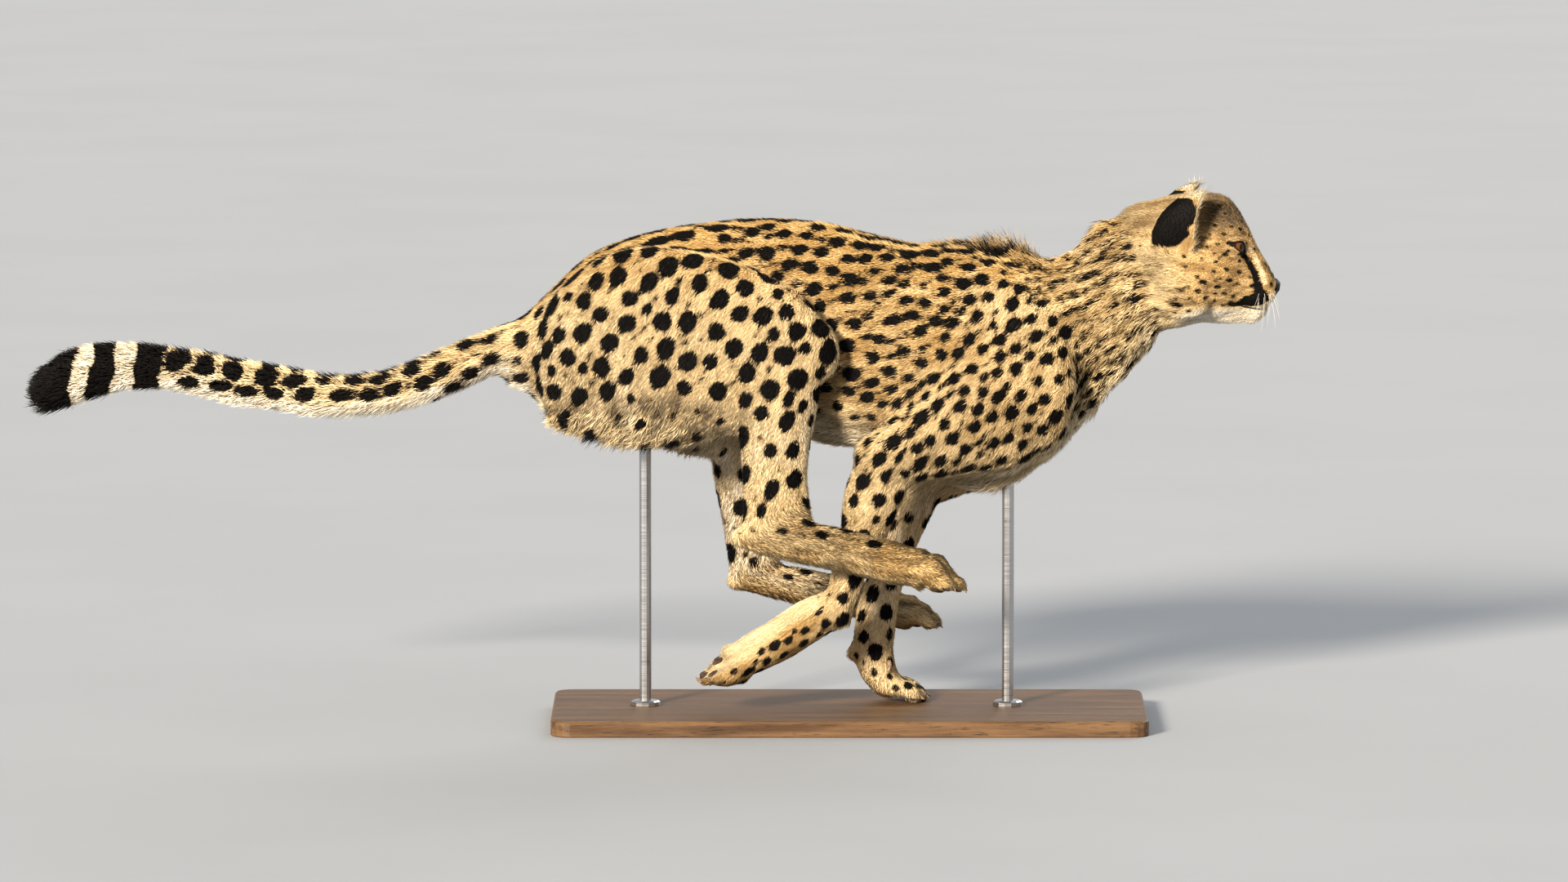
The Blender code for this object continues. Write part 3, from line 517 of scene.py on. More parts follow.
def stretched(tree, scale):
    """The object's own coordinates, scaled along each axis."""
    node = tree.nodes.new("ShaderNodeMapping")
    node.inputs["Scale"].default_value = scale
    tree.links.new(object_coordinates(tree), node.inputs["Vector"])
    return node.outputs["Vector"]


def noise_node(tree, coordinates, scale, detail=3.0, rough=0.55):
    node = tree.nodes.new("ShaderNodeTexNoise")
    tree.links.new(coordinates, node.inputs["Vector"])
    node.inputs["Scale"].default_value = scale
    node.inputs["Detail"].default_value = detail
    node.inputs["Roughness"].default_value = rough
    return node.outputs["Fac"]


def two_toned(tree, shader, texture, first, second):
    """Colours a shader between two colours, by a texture."""
    tone = mixed(tree, ranged(tree, texture, 0.3, 0.7), first, second)
    tree.links.new(tone, shader.inputs["Base Color"])


def attribute(tree, name):
    node = tree.nodes.new("ShaderNodeAttribute")
    node.attribute_name = name
    return node.outputs["Fac"]


def object_coordinates(tree):
    return tree.nodes.new("ShaderNodeTexCoord").outputs["Object"]


# What the colours of the coat are made from: numbers at each point, and colours from the settings.
COAT_NUMBERS = ("Tone", "Spot", "Grey", "Own")
COAT_COLOURS = ("Tawny", "Cream", "White", "Black")


def coat_group():
    """Ground colour from tone, with the black of spots over it and a dark grey that is smoky hair in the
    mane and painted shade elsewhere.
    """
    name = "coat colours"
    if name in bpy.data.node_groups:
        return bpy.data.node_groups[name]
    sockets = [("Place", "INPUT", "Vector")]
    sockets += [(label, "INPUT", "Float") for label in COAT_NUMBERS]
    sockets += [(label, "INPUT", "Color") for label in COAT_COLOURS]
    sockets += [("Color", "OUTPUT", "Color"), ("Roughness", "OUTPUT", "Float")]
    group, start, end = node_group(name, "ShaderNodeTree", sockets)
    inputs = start.outputs
    broad = noise_node(group, inputs["Place"], 14.0, 2.0)
    tone = maths(group, "ADD", inputs["Tone"], ranged(group, broad, 0.3, 0.7, -0.16, 0.16))
    tone = maths(group, "ADD", tone, ranged(group, inputs["Own"], 0.1, 0.9, -0.28, 0.28))
    low = mixed(group, ranged(group, tone, 0.0, 1.0), inputs["Tawny"], inputs["Cream"])
    ground = mixed(group, ranged(group, tone, 1.0, 2.0), low, inputs["White"])
    # Dark grey: smoky hair in the mane, and painted shade on belly, thighs, feet, brow, eye sockets and ear
    # cups.
    grey = mixed(group, inputs["Grey"], ground, (0.16, 0.125, 0.09))
    dark = ranged(group, inputs["Spot"], -0.8, 0.6)
    rust = mixed(group, ranged(group, inputs["Spot"], -3.5, 0.0, 0.0, 0.4), grey, inputs["Tawny"])
    colour = mixed(group, dark, rust, inputs["Black"])
    group.links.new(colour, end.inputs["Color"])
    group.links.new(maths(group, "MULTIPLY_ADD", dark, -0.14, 0.68), end.inputs["Roughness"])
    return group


def new_material(name, roughness=0.6, specular=0.4):
    material = bpy.data.materials.new(name)
    material.use_nodes = True
    shader = material.node_tree.nodes["Principled BSDF"]
    shader.inputs["Roughness"].default_value = roughness
    shader.inputs["Specular IOR Level"].default_value = specular
    return material, material.node_tree, shader


def bumped(tree, shader, height, distance, strength=1.0):
    bump = tree.nodes.new("ShaderNodeBump")
    bump.inputs["Distance"].default_value = distance
    bump.inputs["Strength"].default_value = strength
    tree.links.new(height, bump.inputs["Height"])
    tree.links.new(bump.outputs["Normal"], shader.inputs["Normal"])


def use_coat_group(tree, settings):
    """A coat colours node fed by the piece's own attributes."""
    node = tree.nodes.new("ShaderNodeGroup")
    node.node_tree = coat_group()
    tree.links.new(object_coordinates(tree), node.inputs["Place"])
    for label in COAT_NUMBERS:
        tree.links.new(attribute(tree, label.lower()), node.inputs[label])
    for label in COAT_COLOURS:
        node.inputs[label].default_value = (*getattr(settings, label.lower()), 1)
    return node


def hair_material(settings):
    """Tufts: the coat's colours with painted shade that makes them darker and warmer at the root, and a
    soft sheen.
    """
    material, tree, shader = new_material("hair", specular=0.15)
    colours = use_coat_group(tree, settings)
    # Painted shade: each tuft darker and warmer towards its root.
    root = ranged(tree, attribute(tree, "along"), 0.0, 0.7, 0.42, 0.0)
    shaded = mixed(tree, root, colours.outputs["Color"], (0.3, 0.17, 0.07), "MULTIPLY")
    light = ranged(tree, attribute(tree, "own"), 0.1, 0.9, 0.62, 1.16)
    lift = tree.nodes.new("ShaderNodeHueSaturation")
    tree.links.new(shaded, lift.inputs["Color"])
    tree.links.new(light, lift.inputs["Value"])
    tree.links.new(lift.outputs["Color"], shader.inputs["Base Color"])
    tree.links.new(colours.outputs["Roughness"], shader.inputs["Roughness"])
    shader.inputs["Sheen Weight"].default_value = 0.04
    shader.inputs["Sheen Roughness"].default_value = 0.4
    grain = noise_node(tree, object_coordinates(tree), 900.0, 2.0)
    bumped(tree, shader, grain, 0.0004, 0.5)
    return material


def skin_material(settings):
    """Short under-fur in the coat's colours, and bare black leather on nose, lips and lids."""
    material, tree, shader = new_material("skin", specular=0.3)
    colours = use_coat_group(tree, settings)
    place_of = object_coordinates(tree)
    fine = noise_node(tree, place_of, 420.0, 4.0, 0.7)
    depth = ranged(tree, fine, 0.3, 0.75)
    under = mixed(tree, depth, colours.outputs["Color"], (0.72, 0.62, 0.5), "MULTIPLY")
    bare = attribute(tree, "bare")
    pebbles = cell_node(tree, place_of, 700.0, "F1")
    leather = mixed(tree, ranged(tree, pebbles, 0.0, 0.6), (0.035, 0.026, 0.022), (0.008, 0.006, 0.006))
    tree.links.new(mixed(tree, bare, under, leather), shader.inputs["Base Color"])
    rough = maths(tree, "MULTIPLY_ADD", bare, -0.3, 0.7)
    tree.links.new(rough, shader.inputs["Roughness"])
    height = maths(tree, "MULTIPLY_ADD", pebbles, bare, fine)
    bumped(tree, shader, height, 0.0008, 0.7)
    return material


# ---------------------------------------------------------------- skin


# Size of a cell of the skin's first mesh, and how far flesh is pushed outward to close the thin cuts.
VOXEL = 3.2
CLOSE_GAP = 0.6

# The left eye: its middle, its radius and the ways it faces, along the slit of its lids and up.
EYE_CENTRE = middle("eye_left")
EYE_RADIUS = 15.2
EYE_GAZE = unit((0.78, 0.61, 0.08))
EYE_SLIT = unit(np.cross(EYE_GAZE, np.cross((-0.72, 0.6, 0.30), EYE_GAZE)))
EYE_UP = unit(np.cross(EYE_SLIT, EYE_GAZE)) * -1

# What stands for any distance far from the lids, the tip of the nose, and where the face starts.
FAR_FROM_LIDS = 60.0
NOSE_TIP = at("nose", 1, 0.5, 0.5)
FACE = at("head", 0.5, 0, 0)[0]

# How strongly the skin is smoothed on each part, as a share. Other parts take the whole.
SMOOTHING = {
    "head": 0.12,
    "nose": 0.05,
    "ear": 0.1,
    "fore_paw": 0.1,
    "hind_paw": 0.1,
    "metatarsus": 0.4,
    "forearm": 0.5,
    "shank": 0.5,
}

# Where a part meets the trunk: rounds of smoothing, and the height above which the seam is smoothed.
SEAMS = {"thigh": (70, 380), "upper_arm": (150, 400), "neck": (90, 400)}


def joined_flesh():
    """The flesh, pushed outward until the thin cuts close, as one skin."""
    skin = joined("skin", FLESH + ("eye_left", "eye_right"), CLOSE_GAP)
    remesh = skin.modifiers.new("whole", "REMESH")
    remesh.mode = "VOXEL"
    remesh.voxel_size = VOXEL * MM
    applied(skin)
    largest_body(skin.data)
    return skin


def refined(mesh, wanted):
    """Cuts each face that the test wants into four."""
    body = bmesh.new()
    body.from_mesh(mesh)
    centres = np.array([face.calc_center_median() for face in body.faces]) / MM
    edges = {edge for face, take in zip(body.faces, wanted(centres)) if take for edge in face.edges}
    edges = sorted(edges, key=lambda edge: edge.index)
    bmesh.ops.subdivide_edges(body, edges=edges, cuts=1, use_grid_fill=True)
    bmesh.ops.triangulate(body, faces=[face for face in body.faces if len(face.verts) > 4])
    body.to_mesh(mesh)
    body.free()


def flesh_tree():
    """A search tree over all flesh, and the name's place in FLESH for each of its triangles."""
    points, faces, owner = [], [], []
    for index, name in enumerate(FLESH):
        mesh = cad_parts[name].data
        start = len(points)
        points.extend(point_array(mesh).tolist())
        triangles = triangle_array(mesh) + start
        faces.extend(triangles.tolist())
        owner.extend([index] * len(triangles))
    return BVHTree.FromPolygons(points, faces), np.array(owner)


def parts_of(points):
    """The flesh that each point, in metres, is nearest to."""
    tree, owner = flesh_tree()
    return owner[[tree.find_nearest(point)[2] for point in points.tolist()]]


def table_values(parts, table, default=0.0):
    """A table's value for each point, by its part."""
    values = np.array([table.get(stem(name), default) for name in FLESH], float)
    return values[parts]


def table_columns(parts, table):
    """The values for each point of every column of a table of rows."""
    width = len(next(iter(table.values())))
    return [table_values(parts, {key: row[i] for key, row in table.items()}) for i in range(width)]


def swell(points, normals, centre, radii, height, both=True):
    """Raises the skin in a soft mound, or lowers it where height is negative."""
    share = np.zeros(len(points))
    for middle_point in (centre, mirrored(centre)) if both else (centre,):
        share = np.maximum(share, mound(points, middle_point, radii) ** 2)
    return points + normals * (share * height)[:, None]


def pull(points, centre, radii, move, both=True):
    """Moves the skin round a place, and round its mirror place, by a fixed step that fades outward."""
    for flip in ((1, 1, 1), (1, -1, 1)) if both else ((1, 1, 1),):
        share = mound(points, centre * flip, radii) ** 2
        points = points + share[:, None] * move * flip * (0.5 if centre[1] == 0 else 1)
    return points


def crease(points, normals, path, width, depth, both=True):
    """Presses a groove into the skin along a path."""
    share = np.zeros(len(points))
    for line in (path, mirrored(path)) if both else (path,):
        away, along = distance_to_path(points, line)
        ends = np.clip(np.minimum(along, 1 - along) * 6 + 0.35, 0, 1)
        share = np.maximum(share, np.exp(-((away / width) ** 2)) * ends)
    return points - normals * (share * depth)[:, None]


def search_tree(points, mesh):
    """A search tree over a mesh's faces, with its points at the given places."""
    return BVHTree.FromPolygons(points.tolist(), triangle_array(mesh).tolist())


# Steps that a path on the face takes from each of its places to the next.
PATH_STEPS = 4


def side_path(tree, places):
    """Places on the left side of the face, given from the tip of the nose, as a path on the skin.

    Each place is millimetres forward and up from the tip, as seen from the side."""
    path = []
    places = np.asarray(places, float)
    for first, second in zip(places, places[1:]):
        path.extend(first + (second - first) * step / PATH_STEPS for step in range(PATH_STEPS))
    path.append(places[-1])
    found = []
    for ahead, up in path:
        x, z = NOSE_TIP[0] + ahead, NOSE_TIP[2] + up
        hit = tree.ray_cast(Vector((x, 150, z)), Vector((0, -1, 0)))[0]
        if hit is None:
            hit = tree.find_nearest(Vector((x, 12, z)))[0]
        found.append(np.array(hit))
    return np.array(found)


def mouth_path(tree):
    """The line between the lips, from below the nose to the left corner, as a path on the skin."""
    front = []
    for across, up in ((0.3, -20.5), (4, -22), (8, -24), (12, -26)):
        ahead = Vector((NOSE_TIP[0] + 60, across, NOSE_TIP[2] + up))
        front.append(np.array(tree.ray_cast(ahead, Vector((-1, 0, 0)))[0]))
    return np.concatenate([front, side_path(tree, MOUTH)])


# Paths on the side of the face: forward of and above the tip of the nose.
MOUTH = ((-22, -28), (-34, -28.5), (-50, -25.5), (-71, -17))
CHEEK = ((-100, 8), (-98, -14), (-88, -32))
TEAR = ((-58, 54), (-54, 47), (-45, 33), (-36, 18), (-32, 5), (-31, -8))
LIP_PATCH = ((-69, -20), (-54, -20), (-38, -17), (-28, -13))
UNDER_EYE = ((-47, 56), (-37, 43), (-28, 24), (-24, 10))
EYE_CORNER = ((-72, 52), (-84, 44), (-90, 36))
CHEEK_MARKS = (
    (-141, -20, 4.2),
    (-147, -11, 2.6),
    (-135, 0, 2.6),
    (-125, -11, 2.4),
    (-114, -1, 3.4),
    (-108, 11, 3.2),
    (-101, -9, 1.8),
    (-90, -5, 2.0),
    (-90, 13, 2.2),
    (-85, 4, 2.2),
    (-77, -7, 1.8),
    (-75, 13, 1.7),
    (-70, -3, 1.7),
    (-66, 6, 1.5),
    (-61, -5, 1.5),
)


def lid_edge(points, side, half_width, half_height):
    """Each point's distance outside the slit between one eye's lids, its distance from the eye's
    centre, and its offset from there as on the left side. All are in millimetres."""
    flip = np.array([1, side, 1])
    offset = (points - EYE_CENTRE * flip) * flip
    across, up, out = offset @ EYE_SLIT, offset @ EYE_UP, offset @ EYE_GAZE
    reach = np.clip(across / half_width, -1.6, 1.6)
    corner = np.where(reach > 0, 0.30 * reach**2 * half_height, 0.55 * reach**2 * half_height)
    arch = half_height * np.where(up > 0, 0.95, 0.85) * (1 - np.minimum(reach**2, 1))
    middle_line = np.where(reach > 0, corner * 0.4, -corner)
    outside = np.abs(up - middle_line) - arch
    outside = np.where(np.abs(reach) > 1, np.maximum(outside, (np.abs(reach) - 1) * half_width), outside)
    return np.where(out > 0, outside, FAR_FROM_LIDS), np.linalg.norm(offset, axis=1), offset


# The lids: how far they stand off the eyeball, how much more their rims do, and how far behind the
# eyeball's surface the skin between them lies.
LID_DEPTH = 1.3
LID_RIM = 1.5
SUNK_SKIN = 3.2


def open_eyes(points, half_width, half_height):
    """Wraps the lids round each eyeball and sinks the skin between them behind it."""
    for side in (1, -1):
        flip = np.array([1, side, 1])
        outside, radius, offset = lid_edge(points, side, half_width, half_height)
        near = (outside < 40) & (radius < 40)
        lid = EYE_RADIUS + LID_DEPTH + LID_RIM * np.exp(-(((outside - 3) / 2.6) ** 2))
        blend = 1 - fade(outside, 3.0, 11.0)
        target = radius + (lid - radius) * blend
        sunk = EYE_RADIUS - SUNK_SKIN
        target = np.where(outside < 0.35, sunk + (target - sunk) * fade(outside, -0.9, 0.35), target)
        moved = offset / np.maximum(radius, 1e-6)[:, None] * target[:, None]
        moved = moved * flip + EYE_CENTRE * flip
        points = np.where(near[:, None], moved, points)
    return points


def shape_nose(points):
    """A flat-fronted pad, broad above and narrow below."""
    offset = points - NOSE_TIP
    near = fade(17 - np.linalg.norm(offset, axis=1), 0, 6)
    front = np.maximum(offset[:, 0] + 2.2 + offset[:, 2] * -0.12, 0) * near
    points = points - np.outer(front * 0.75, (1, 0, 0))
    narrow = 1 + near * (0.16 * fade(offset[:, 2], -3, 4) - 0.42 * fade(-offset[:, 2], 0, 11))
    return points * np.stack([np.ones(len(points)), narrow, np.ones(len(points))], axis=1)


# How the face is pulled: place from the tip of the nose, reach and move.
FACE_PULLS = (
    ((-15, 9, 2), (12, 9, 10), (3.0, 2.4, 1.2)),
    ((-17, 0, 11), (14, 11, 8), (1.0, 0, 2.4)),
    ((-20, 17, -13), (17, 13, 11), (1.5, 4.6, -1.2)),
    ((-24, 22, -38), (26, 13, 13), (0, -3.5, 0)),
    ((-56, 0, -47), (62, 32, 20), (0, 0, -11)),
)


def shape_head(points, normals, mesh):
    """Folds of the face: mouth, nostrils, whisker pads, chin, brow and cheek."""
    tip = NOSE_TIP
    for offset, reach, move in FACE_PULLS:
        points = pull(points, tip + offset, reach, move)
    points = shape_nose(points)
    tree = search_tree(points, mesh)
    points = swell(points, normals, EYE_CENTRE + (-2, 0, 20), (17, 14, 8), 2.2)
    points = swell(points, normals, tip + (-20, 0, -36), (16, 13, 10), 1.8, both=False)
    points = crease(points, normals, mouth_path(tree), 2.0, 3.6)
    lip = tip + np.array([(-1, 0, -9), (-6, 0, -21)])
    points = crease(points, normals, lip, 1.3, 2.0, both=False)
    nostril = tip + np.array([(-2, 4.0, -2.5), (-5, 9.5, -1.0), (-10, 13.0, -3.5)])
    points = crease(points, normals, nostril, 1.7, 4.4)
    points = crease(points, normals, side_path(tree, TEAR[1:4]), 4.0, 1.5)
    points = crease(points, normals, side_path(tree, CHEEK), 9.0, 2.2)
    return points


def toe_frame(paw):
    """Directions along the toes and down through the sole of a paw."""
    if paw == "fore_paw_right":
        return unit((-0.86, 0, -0.5)), unit((-0.5, 0, 0.86))
    if paw == "fore_paw_left":
        return unit((1, 0, -0.15)), unit((0, 0, -1))
    return unit((0.96, 0, -0.26)), unit((-0.26, 0, -0.96))


def toe_roots(paw):
    """The back end of each of a paw's four claws, in order across the paw."""
    way, _ = toe_frame(paw)
    names = [f"claw_{'fore' if 'fore' in paw else 'hind'}_{paw.split('_')[-1]}_{i}" for i in range(1, 5)]
    roots = [middle(name) - way * 3 for name in names]
    return sorted(roots, key=lambda root: root[1])


# Fuller places of the paws: behind the claws, towards the sole, and how far the skin moves to the sole.
FULL_PAWS = {
    "fore_paw_right": ((-12, 20, 13), (-32, 18, 7), (-32, -20, -11)),
    "fore_paw_left": (),
    "hind_paw_right": ((-36, 0, 15), (-30, -22, -10), (-48, -26, -4)),
    "hind_paw_left": ((-36, 0, 7), (-26, -20, -7)),
}


def shape_paws(points, normals):
    """Plump toes with grooves between them, on top and underneath."""
    for paw in PAWS:
        way, sole = toe_frame(paw)
        roots = toe_roots(paw)
        plump = 1.6 if paw == "fore_paw_left" else 3.4
        for behind, under, move in FULL_PAWS[paw]:
            centre = np.mean(roots, axis=0) + way * behind + sole * under
            points = pull(points, centre, (36, 48, 24), sole * move, both=False)
        for root in roots:
            points = swell(points, normals, root - way * 9 - sole * 2, (15, 9, 13), plump, both=False)
        heel = np.mean(roots, axis=0) - way * 26
        points = swell(points, normals, heel, (26, 34, 26), plump * 0.8, both=False)
        for first, second in zip(roots, roots[1:]):
            front = (first + second) / 2 + way * 4
            for lift in (-12, -5, 6):
                groove = np.array([front + sole * lift, front - way * 30 + sole * (lift - 2)])
                points = crease(points, normals, groove, 2.5, 3.0, both=False)
    return points


# Grooves between the muscles: a node, two places in its box, and the groove's width and depth.
GROOVES = (
    ("upper_arm_left", (0.35, 1, 0.62), (0.12, 1, 0.15), 9, 2.0),
    ("thigh_right", (0.45, 0, 0.95), (0.82, 0, 0.42), 12, 1.6),
    ("shank_right", (0.35, 0, 0.7), (0.25, 0, 0.1), 6, 1.6),
)
RIBS = 7


def shape_body(points, normals):
    """Shoulder blades, ribs and the long muscles of the limbs."""
    blade = np.array([at("upper_arm_left", 0.5, 0.8, 0.95), at("upper_arm_left", 0.75, 1, 0.55)])
    points = crease(points, normals, blade + (-34, 0, 0), 11, 2.2)
    for node, first, second, width, depth in GROOVES:
        points = crease(points, normals, np.array([at(node, *first), at(node, *second)]), width, depth)
    for i in range(RIBS):
        top = at("chest", 0.62 - 0.13 * i, 0.5, 0.62)
        rib = np.array([top + (8, 95, 10), top + (-22, 95, -70)])
        points = swell(points, normals, rib.mean(axis=0), (9, 60, 52), 0.9)
    return points


# Extra depth and length of the coat: place, reach, depth, length and how much it stands out.
LONG_PLACES = (
    (at("neck", 0.22, 0.5, 0.74), (95, 32, 34), 4, 15, 0.36),
    (at("chest", 0.55, 0.5, 0.9), (95, 28, 32), 4, 14, 0.34),
    (at("neck", 0.6, 0.5, 0.9), (95, 45, 45), 0.5, 8, 0.1),
    *[(at(f"metatarsus_{side}", 0.5, 0.5, 0.3), (110, 60, 40), 1.5, 7, 0.14) for side in SIDES[::-1]],
    (at("head", 0.05, 0.5, 0.8), (50, 60, 50), 2, 9, 0.12),
    (at("head", 0.62, 0.5, 0.9), (50, 45, 26), 0.6, 2.5, 0.16),
    *[(at("head", 0.22, across, 0.35), (48, 45, 62), 2.4, 11, 0.22) for across in (0, 1)],
    (at("neck", 0.65, 0.5, 0.1), (90, 60, 60), 3, 12, 0.15),
    (at("head", 0.3, 0.5, 0.0), (60, 70, 45), 2, 8, 0.12),
    (at("chest", 0.9, 0.5, 0.2), (60, 90, 110), 2, 9, 0.10),
    (at("chest", 0.2, 0.5, 0.0), (120, 80, 40), 3, 14, 0.18),
    (at("chest", 0.65, 0.5, 0.05), (120, 80, 45), 3.5, 15, 0.2),
    (at("loin", 0.5, 0.5, 0.0), (130, 90, 55), 4, 16, 0.12),
    (at("rump", 0.4, 0.5, 0.05), (130, 90, 60), 4, 15, 0.15),
    *[(at(f"thigh_{side}", 0.3, 0.5, 0.04), (170, 80, 60), 5, 19, 0.2) for side in SIDES[::-1]],
    (at("forearm_right", 0.0, 0.5, 0.6), (45, 50, 60), 2, 7, 0.10),
    (at("tail_3", 0.5, 0.5, 0.5), (520, 90, 130), 1.5, 4, 0.16),
)


def coat_sizes(points, parts, ends):
    """Depth, tuft length, tuft width and room of the coat at each point, and how far it stands out."""
    sizes = spread(np.stack(table_columns(parts, COAT), axis=1), ends, 8)
    stand = np.zeros(len(points))
    for centre, radii, deeper, longer, out in LONG_PLACES:
        share = mound(points, centre, radii)
        sizes[:, 0] += share * deeper
        sizes[:, 1] += share * longer
        stand += share * out
    return sizes, stand


# How far round toes, eyes, lips and nose the skin is made finer.
FINE_TOES = 28
FINE_EYES = 22
FINE_LIPS = 4.5
FINE_NOSE = 15


def nearest(points, places):
    """Each point's distance from the nearest of some places."""
    return np.min([np.linalg.norm(points - centre, axis=1) for centre in places], axis=0)


def build_skin(head):
    """One skin over all the flesh, finer on the face and toes, lowered by the depth of the coat."""
    skin = joined_flesh()
    mesh = skin.data
    toes = [np.mean(toe_roots(paw), axis=0) for paw in PAWS]
    eyes = [EYE_CENTRE, mirrored(EYE_CENTRE)]
    refined(mesh, lambda centres: centres[:, 0] > FACE)
    refined(mesh, lambda centres: nearest(centres, toes) < FINE_TOES)
    refined(mesh, lambda centres: nearest(centres, eyes) < FINE_EYES)
    lips = mouth_path(search_tree(point_array(mesh) / MM, mesh))

    def lip_faces(centres):
        from_lips = np.minimum(*[distance_to_path(centres, line)[0] for line in (lips, mirrored(lips))])
        from_nose = np.linalg.norm(centres - NOSE_TIP - (-8, 0, -3), axis=1)
        return (from_lips < FINE_LIPS) | (from_nose < FINE_NOSE)

    refined(mesh, lip_faces)
    points = point_array(mesh) / MM
    ends = edge_array(mesh)
    parts = parts_of(points * MM)
    weight = spread(table_values(parts, SMOOTHING, 1.0), ends, 6)
    points = spread(points, ends, 26, weight * 0.8)
    for name, (rounds, floor) in SEAMS.items():
        limb = [stem(part) == name for part in FLESH]
        seam = spread(np.array(limb, float)[parts], ends, 16)
        points = spread(points, ends, rounds, 4 * seam * (1 - seam) * (points[:, 2] > floor))
    put_points(mesh, points * MM)
    sizes, _ = coat_sizes(points, parts, ends)
    normals = spread(normal_array(mesh), ends, 3)
    points = points - unit(normals) * sizes[:, :1]
    points = spread(points, ends, 3, weight * 0.5)
    put_points(mesh, points * MM)
    normals = normal_array(mesh)
    points = shape_body(points, normals)
    points = shape_paws(points, normals)
    points = shape_head(points, normals, mesh)
    points = open_eyes(points, head.eye_half_width / MM, head.eye_half_height / MM)
    put_points(mesh, points * MM)
    return skin


SKIN_TRIANGLES = 185000

# How much each part of the skin is thinned, the steps this is rounded to, and half of one step.
THINNING = {"head": 0.3, "nose": 0.0, "ear": 0.7, "fore_paw": 0.75, "hind_paw": 0.75}
MOST_THINNED = 0.9
THIN_STEPS = (0.3, 0.6, 0.75, MOST_THINNED)
HALF_STEP = 0.076


def thinned(skin):
    """Thins the skin to its share of triangles, least on the face and most on the trunk."""
    mesh = skin.data
    points, ends = point_array(mesh) / MM, edge_array(mesh)
    parts = get_attribute(mesh, "part").astype(int)
    coarse = spread(table_values(parts, THINNING, MOST_THINNED), ends, 2)
    coarse = np.where((points[:, 0] > FACE) & (coarse < 0.89), 0, coarse)
    group = skin.vertex_groups.new(name="coarse")
    for level in THIN_STEPS:
        chosen = np.flatnonzero(np.abs(coarse - level) < HALF_STEP)
        group.add(chosen.tolist(), level, "REPLACE")
    thin = skin.modifiers.new("thin", "DECIMATE")
    thin.vertex_group = "coarse"
    thin.vertex_group_factor = 1.0
    faces = len(triangle_array(mesh))
    thin.ratio = min(1.0, SKIN_TRIANGLES / faces)
    print("skin", faces, "triangles thinned to", SKIN_TRIANGLES)
    applied(skin)
    skin.vertex_groups.clear()


# ---------------------------------------------------------------- markings


def surface_samples(mesh, room, rng):
    """Points spread evenly over a mesh, with the triangle and corner shares of each.

    room is the distance wanted between neighbours at each of the mesh's points, in metres."""
    triangles = triangle_array(mesh)
    points = point_array(mesh)
    a, b, c = (points[triangles[:, i]] for i in range(3))
    area = np.linalg.norm(np.cross(b - a, c - a), axis=1) / 2
    wanted = area / room[triangles].mean(axis=1) ** 2
    total = np.cumsum(wanted)
    steps = np.arange(0.5, total[-1]) + rng.uniform(-0.45, 0.45, int(total[-1] + 0.5))
    chosen = np.clip(np.searchsorted(total, steps), 0, len(triangles) - 1)
    first, second = rng.random(len(chosen)), rng.random(len(chosen))
    fold = first + second > 1
    first, second = np.where(fold, 1 - first, first), np.where(fold, 1 - second, second)
    shares = np.stack([1 - first - second, first, second], axis=1)
    return triangles[chosen], shares


def between(values, corners, shares):
    """Values at samples from the values at the mesh's points."""
    shares = shares if values.ndim == 1 else shares[:, :, None]
    return (values[corners] * shares).sum(axis=1)


# Side of the cells that spots are sorted into, wider than any two spots keep each other apart.
CELL = 45.0
NEAR_CELLS = [(x, y, z) for x in (-1, 0, 1) for y in (-1, 0, 1) for z in (-1, 0, 1)]


def spot_centres(mesh, parts, lies, rng):
    """Places for spots, the large ones first and small ones in the gaps left, with the size of each."""
    radius, longer, gap = table_columns(parts, SPOTS)
    has = radius > 0
    room = np.where(has, radius * 2 + gap, 30) * MM
    kept = []
    cells = {}
    for low, high, share in SPOT_SIZES:
        corners, shares = surface_samples(mesh, room * 0.22, rng)
        owned = has[corners].all(axis=1)
        corners, shares = corners[owned], shares[owned]
        points = between(point_array(mesh), corners, shares) / MM
        lie = unit(between(lies, corners, shares))
        own = between(radius, corners, shares) * rng.uniform(low, high, len(corners))
        apart, stretch = between(gap, corners, shares) * share, between(longer, corners, shares)
        for index in rng.permutation(len(points)):
            point = points[index]
            x, y, z = (point // CELL).astype(int)
            near = [other for dx, dy, dz in NEAR_CELLS for other in cells.get((x + dx, y + dy, z + dz), ())]
            if near:
                others = np.array(near)
                offset = others[:, :3] - point
                along = offset @ lie[index]
                side = np.sqrt(np.maximum((offset**2).sum(axis=1) - along**2, 0))
                wanted = others[:, 3] + own[index] + apart[index]
                if (np.hypot(along / stretch[index], side) < wanted).any():
                    continue
            cells.setdefault((x, y, z), []).append((*point, own[index]))
            kept.append((corners[index], shares[index], own[index]))
    corners, shares, sizes = zip(*kept)
    return np.array(corners), np.array(shares), np.array(sizes)


# Waves round the edge of a spot: how many, and their height as a share of its radius.
SPOT_WAVES = ((2, 0.07), (3, 0.05), (5, 0.03))


def add_spot(field, tree, points, normals, centre, normal, lie, radius, longer, rng):
    """Marks one ragged oval spot. The field holds millimetres inside the nearest spot's edge."""
    found = tree.find_range(centre * MM, (radius * longer + 5) * MM)
    index = np.array([item[1] for item in found], int)
    index = index[normals[index] @ normal > 0.05]
    offset = points[index] - centre
    along = offset @ lie
    across = np.linalg.norm(offset - along[:, None] * lie, axis=1)
    side = offset @ np.cross(normal, lie)
    away = np.hypot(along / longer, across)
    angle = np.arctan2(side, along)
    phases = rng.uniform(0, 6.28, len(SPOT_WAVES))
    wobble = sum(np.sin(angle * n + phase) * share for phase, (n, share) in zip(phases, SPOT_WAVES))
    inside = radius * (1 + wobble) - away
    field[index] = np.maximum(field[index], inside)


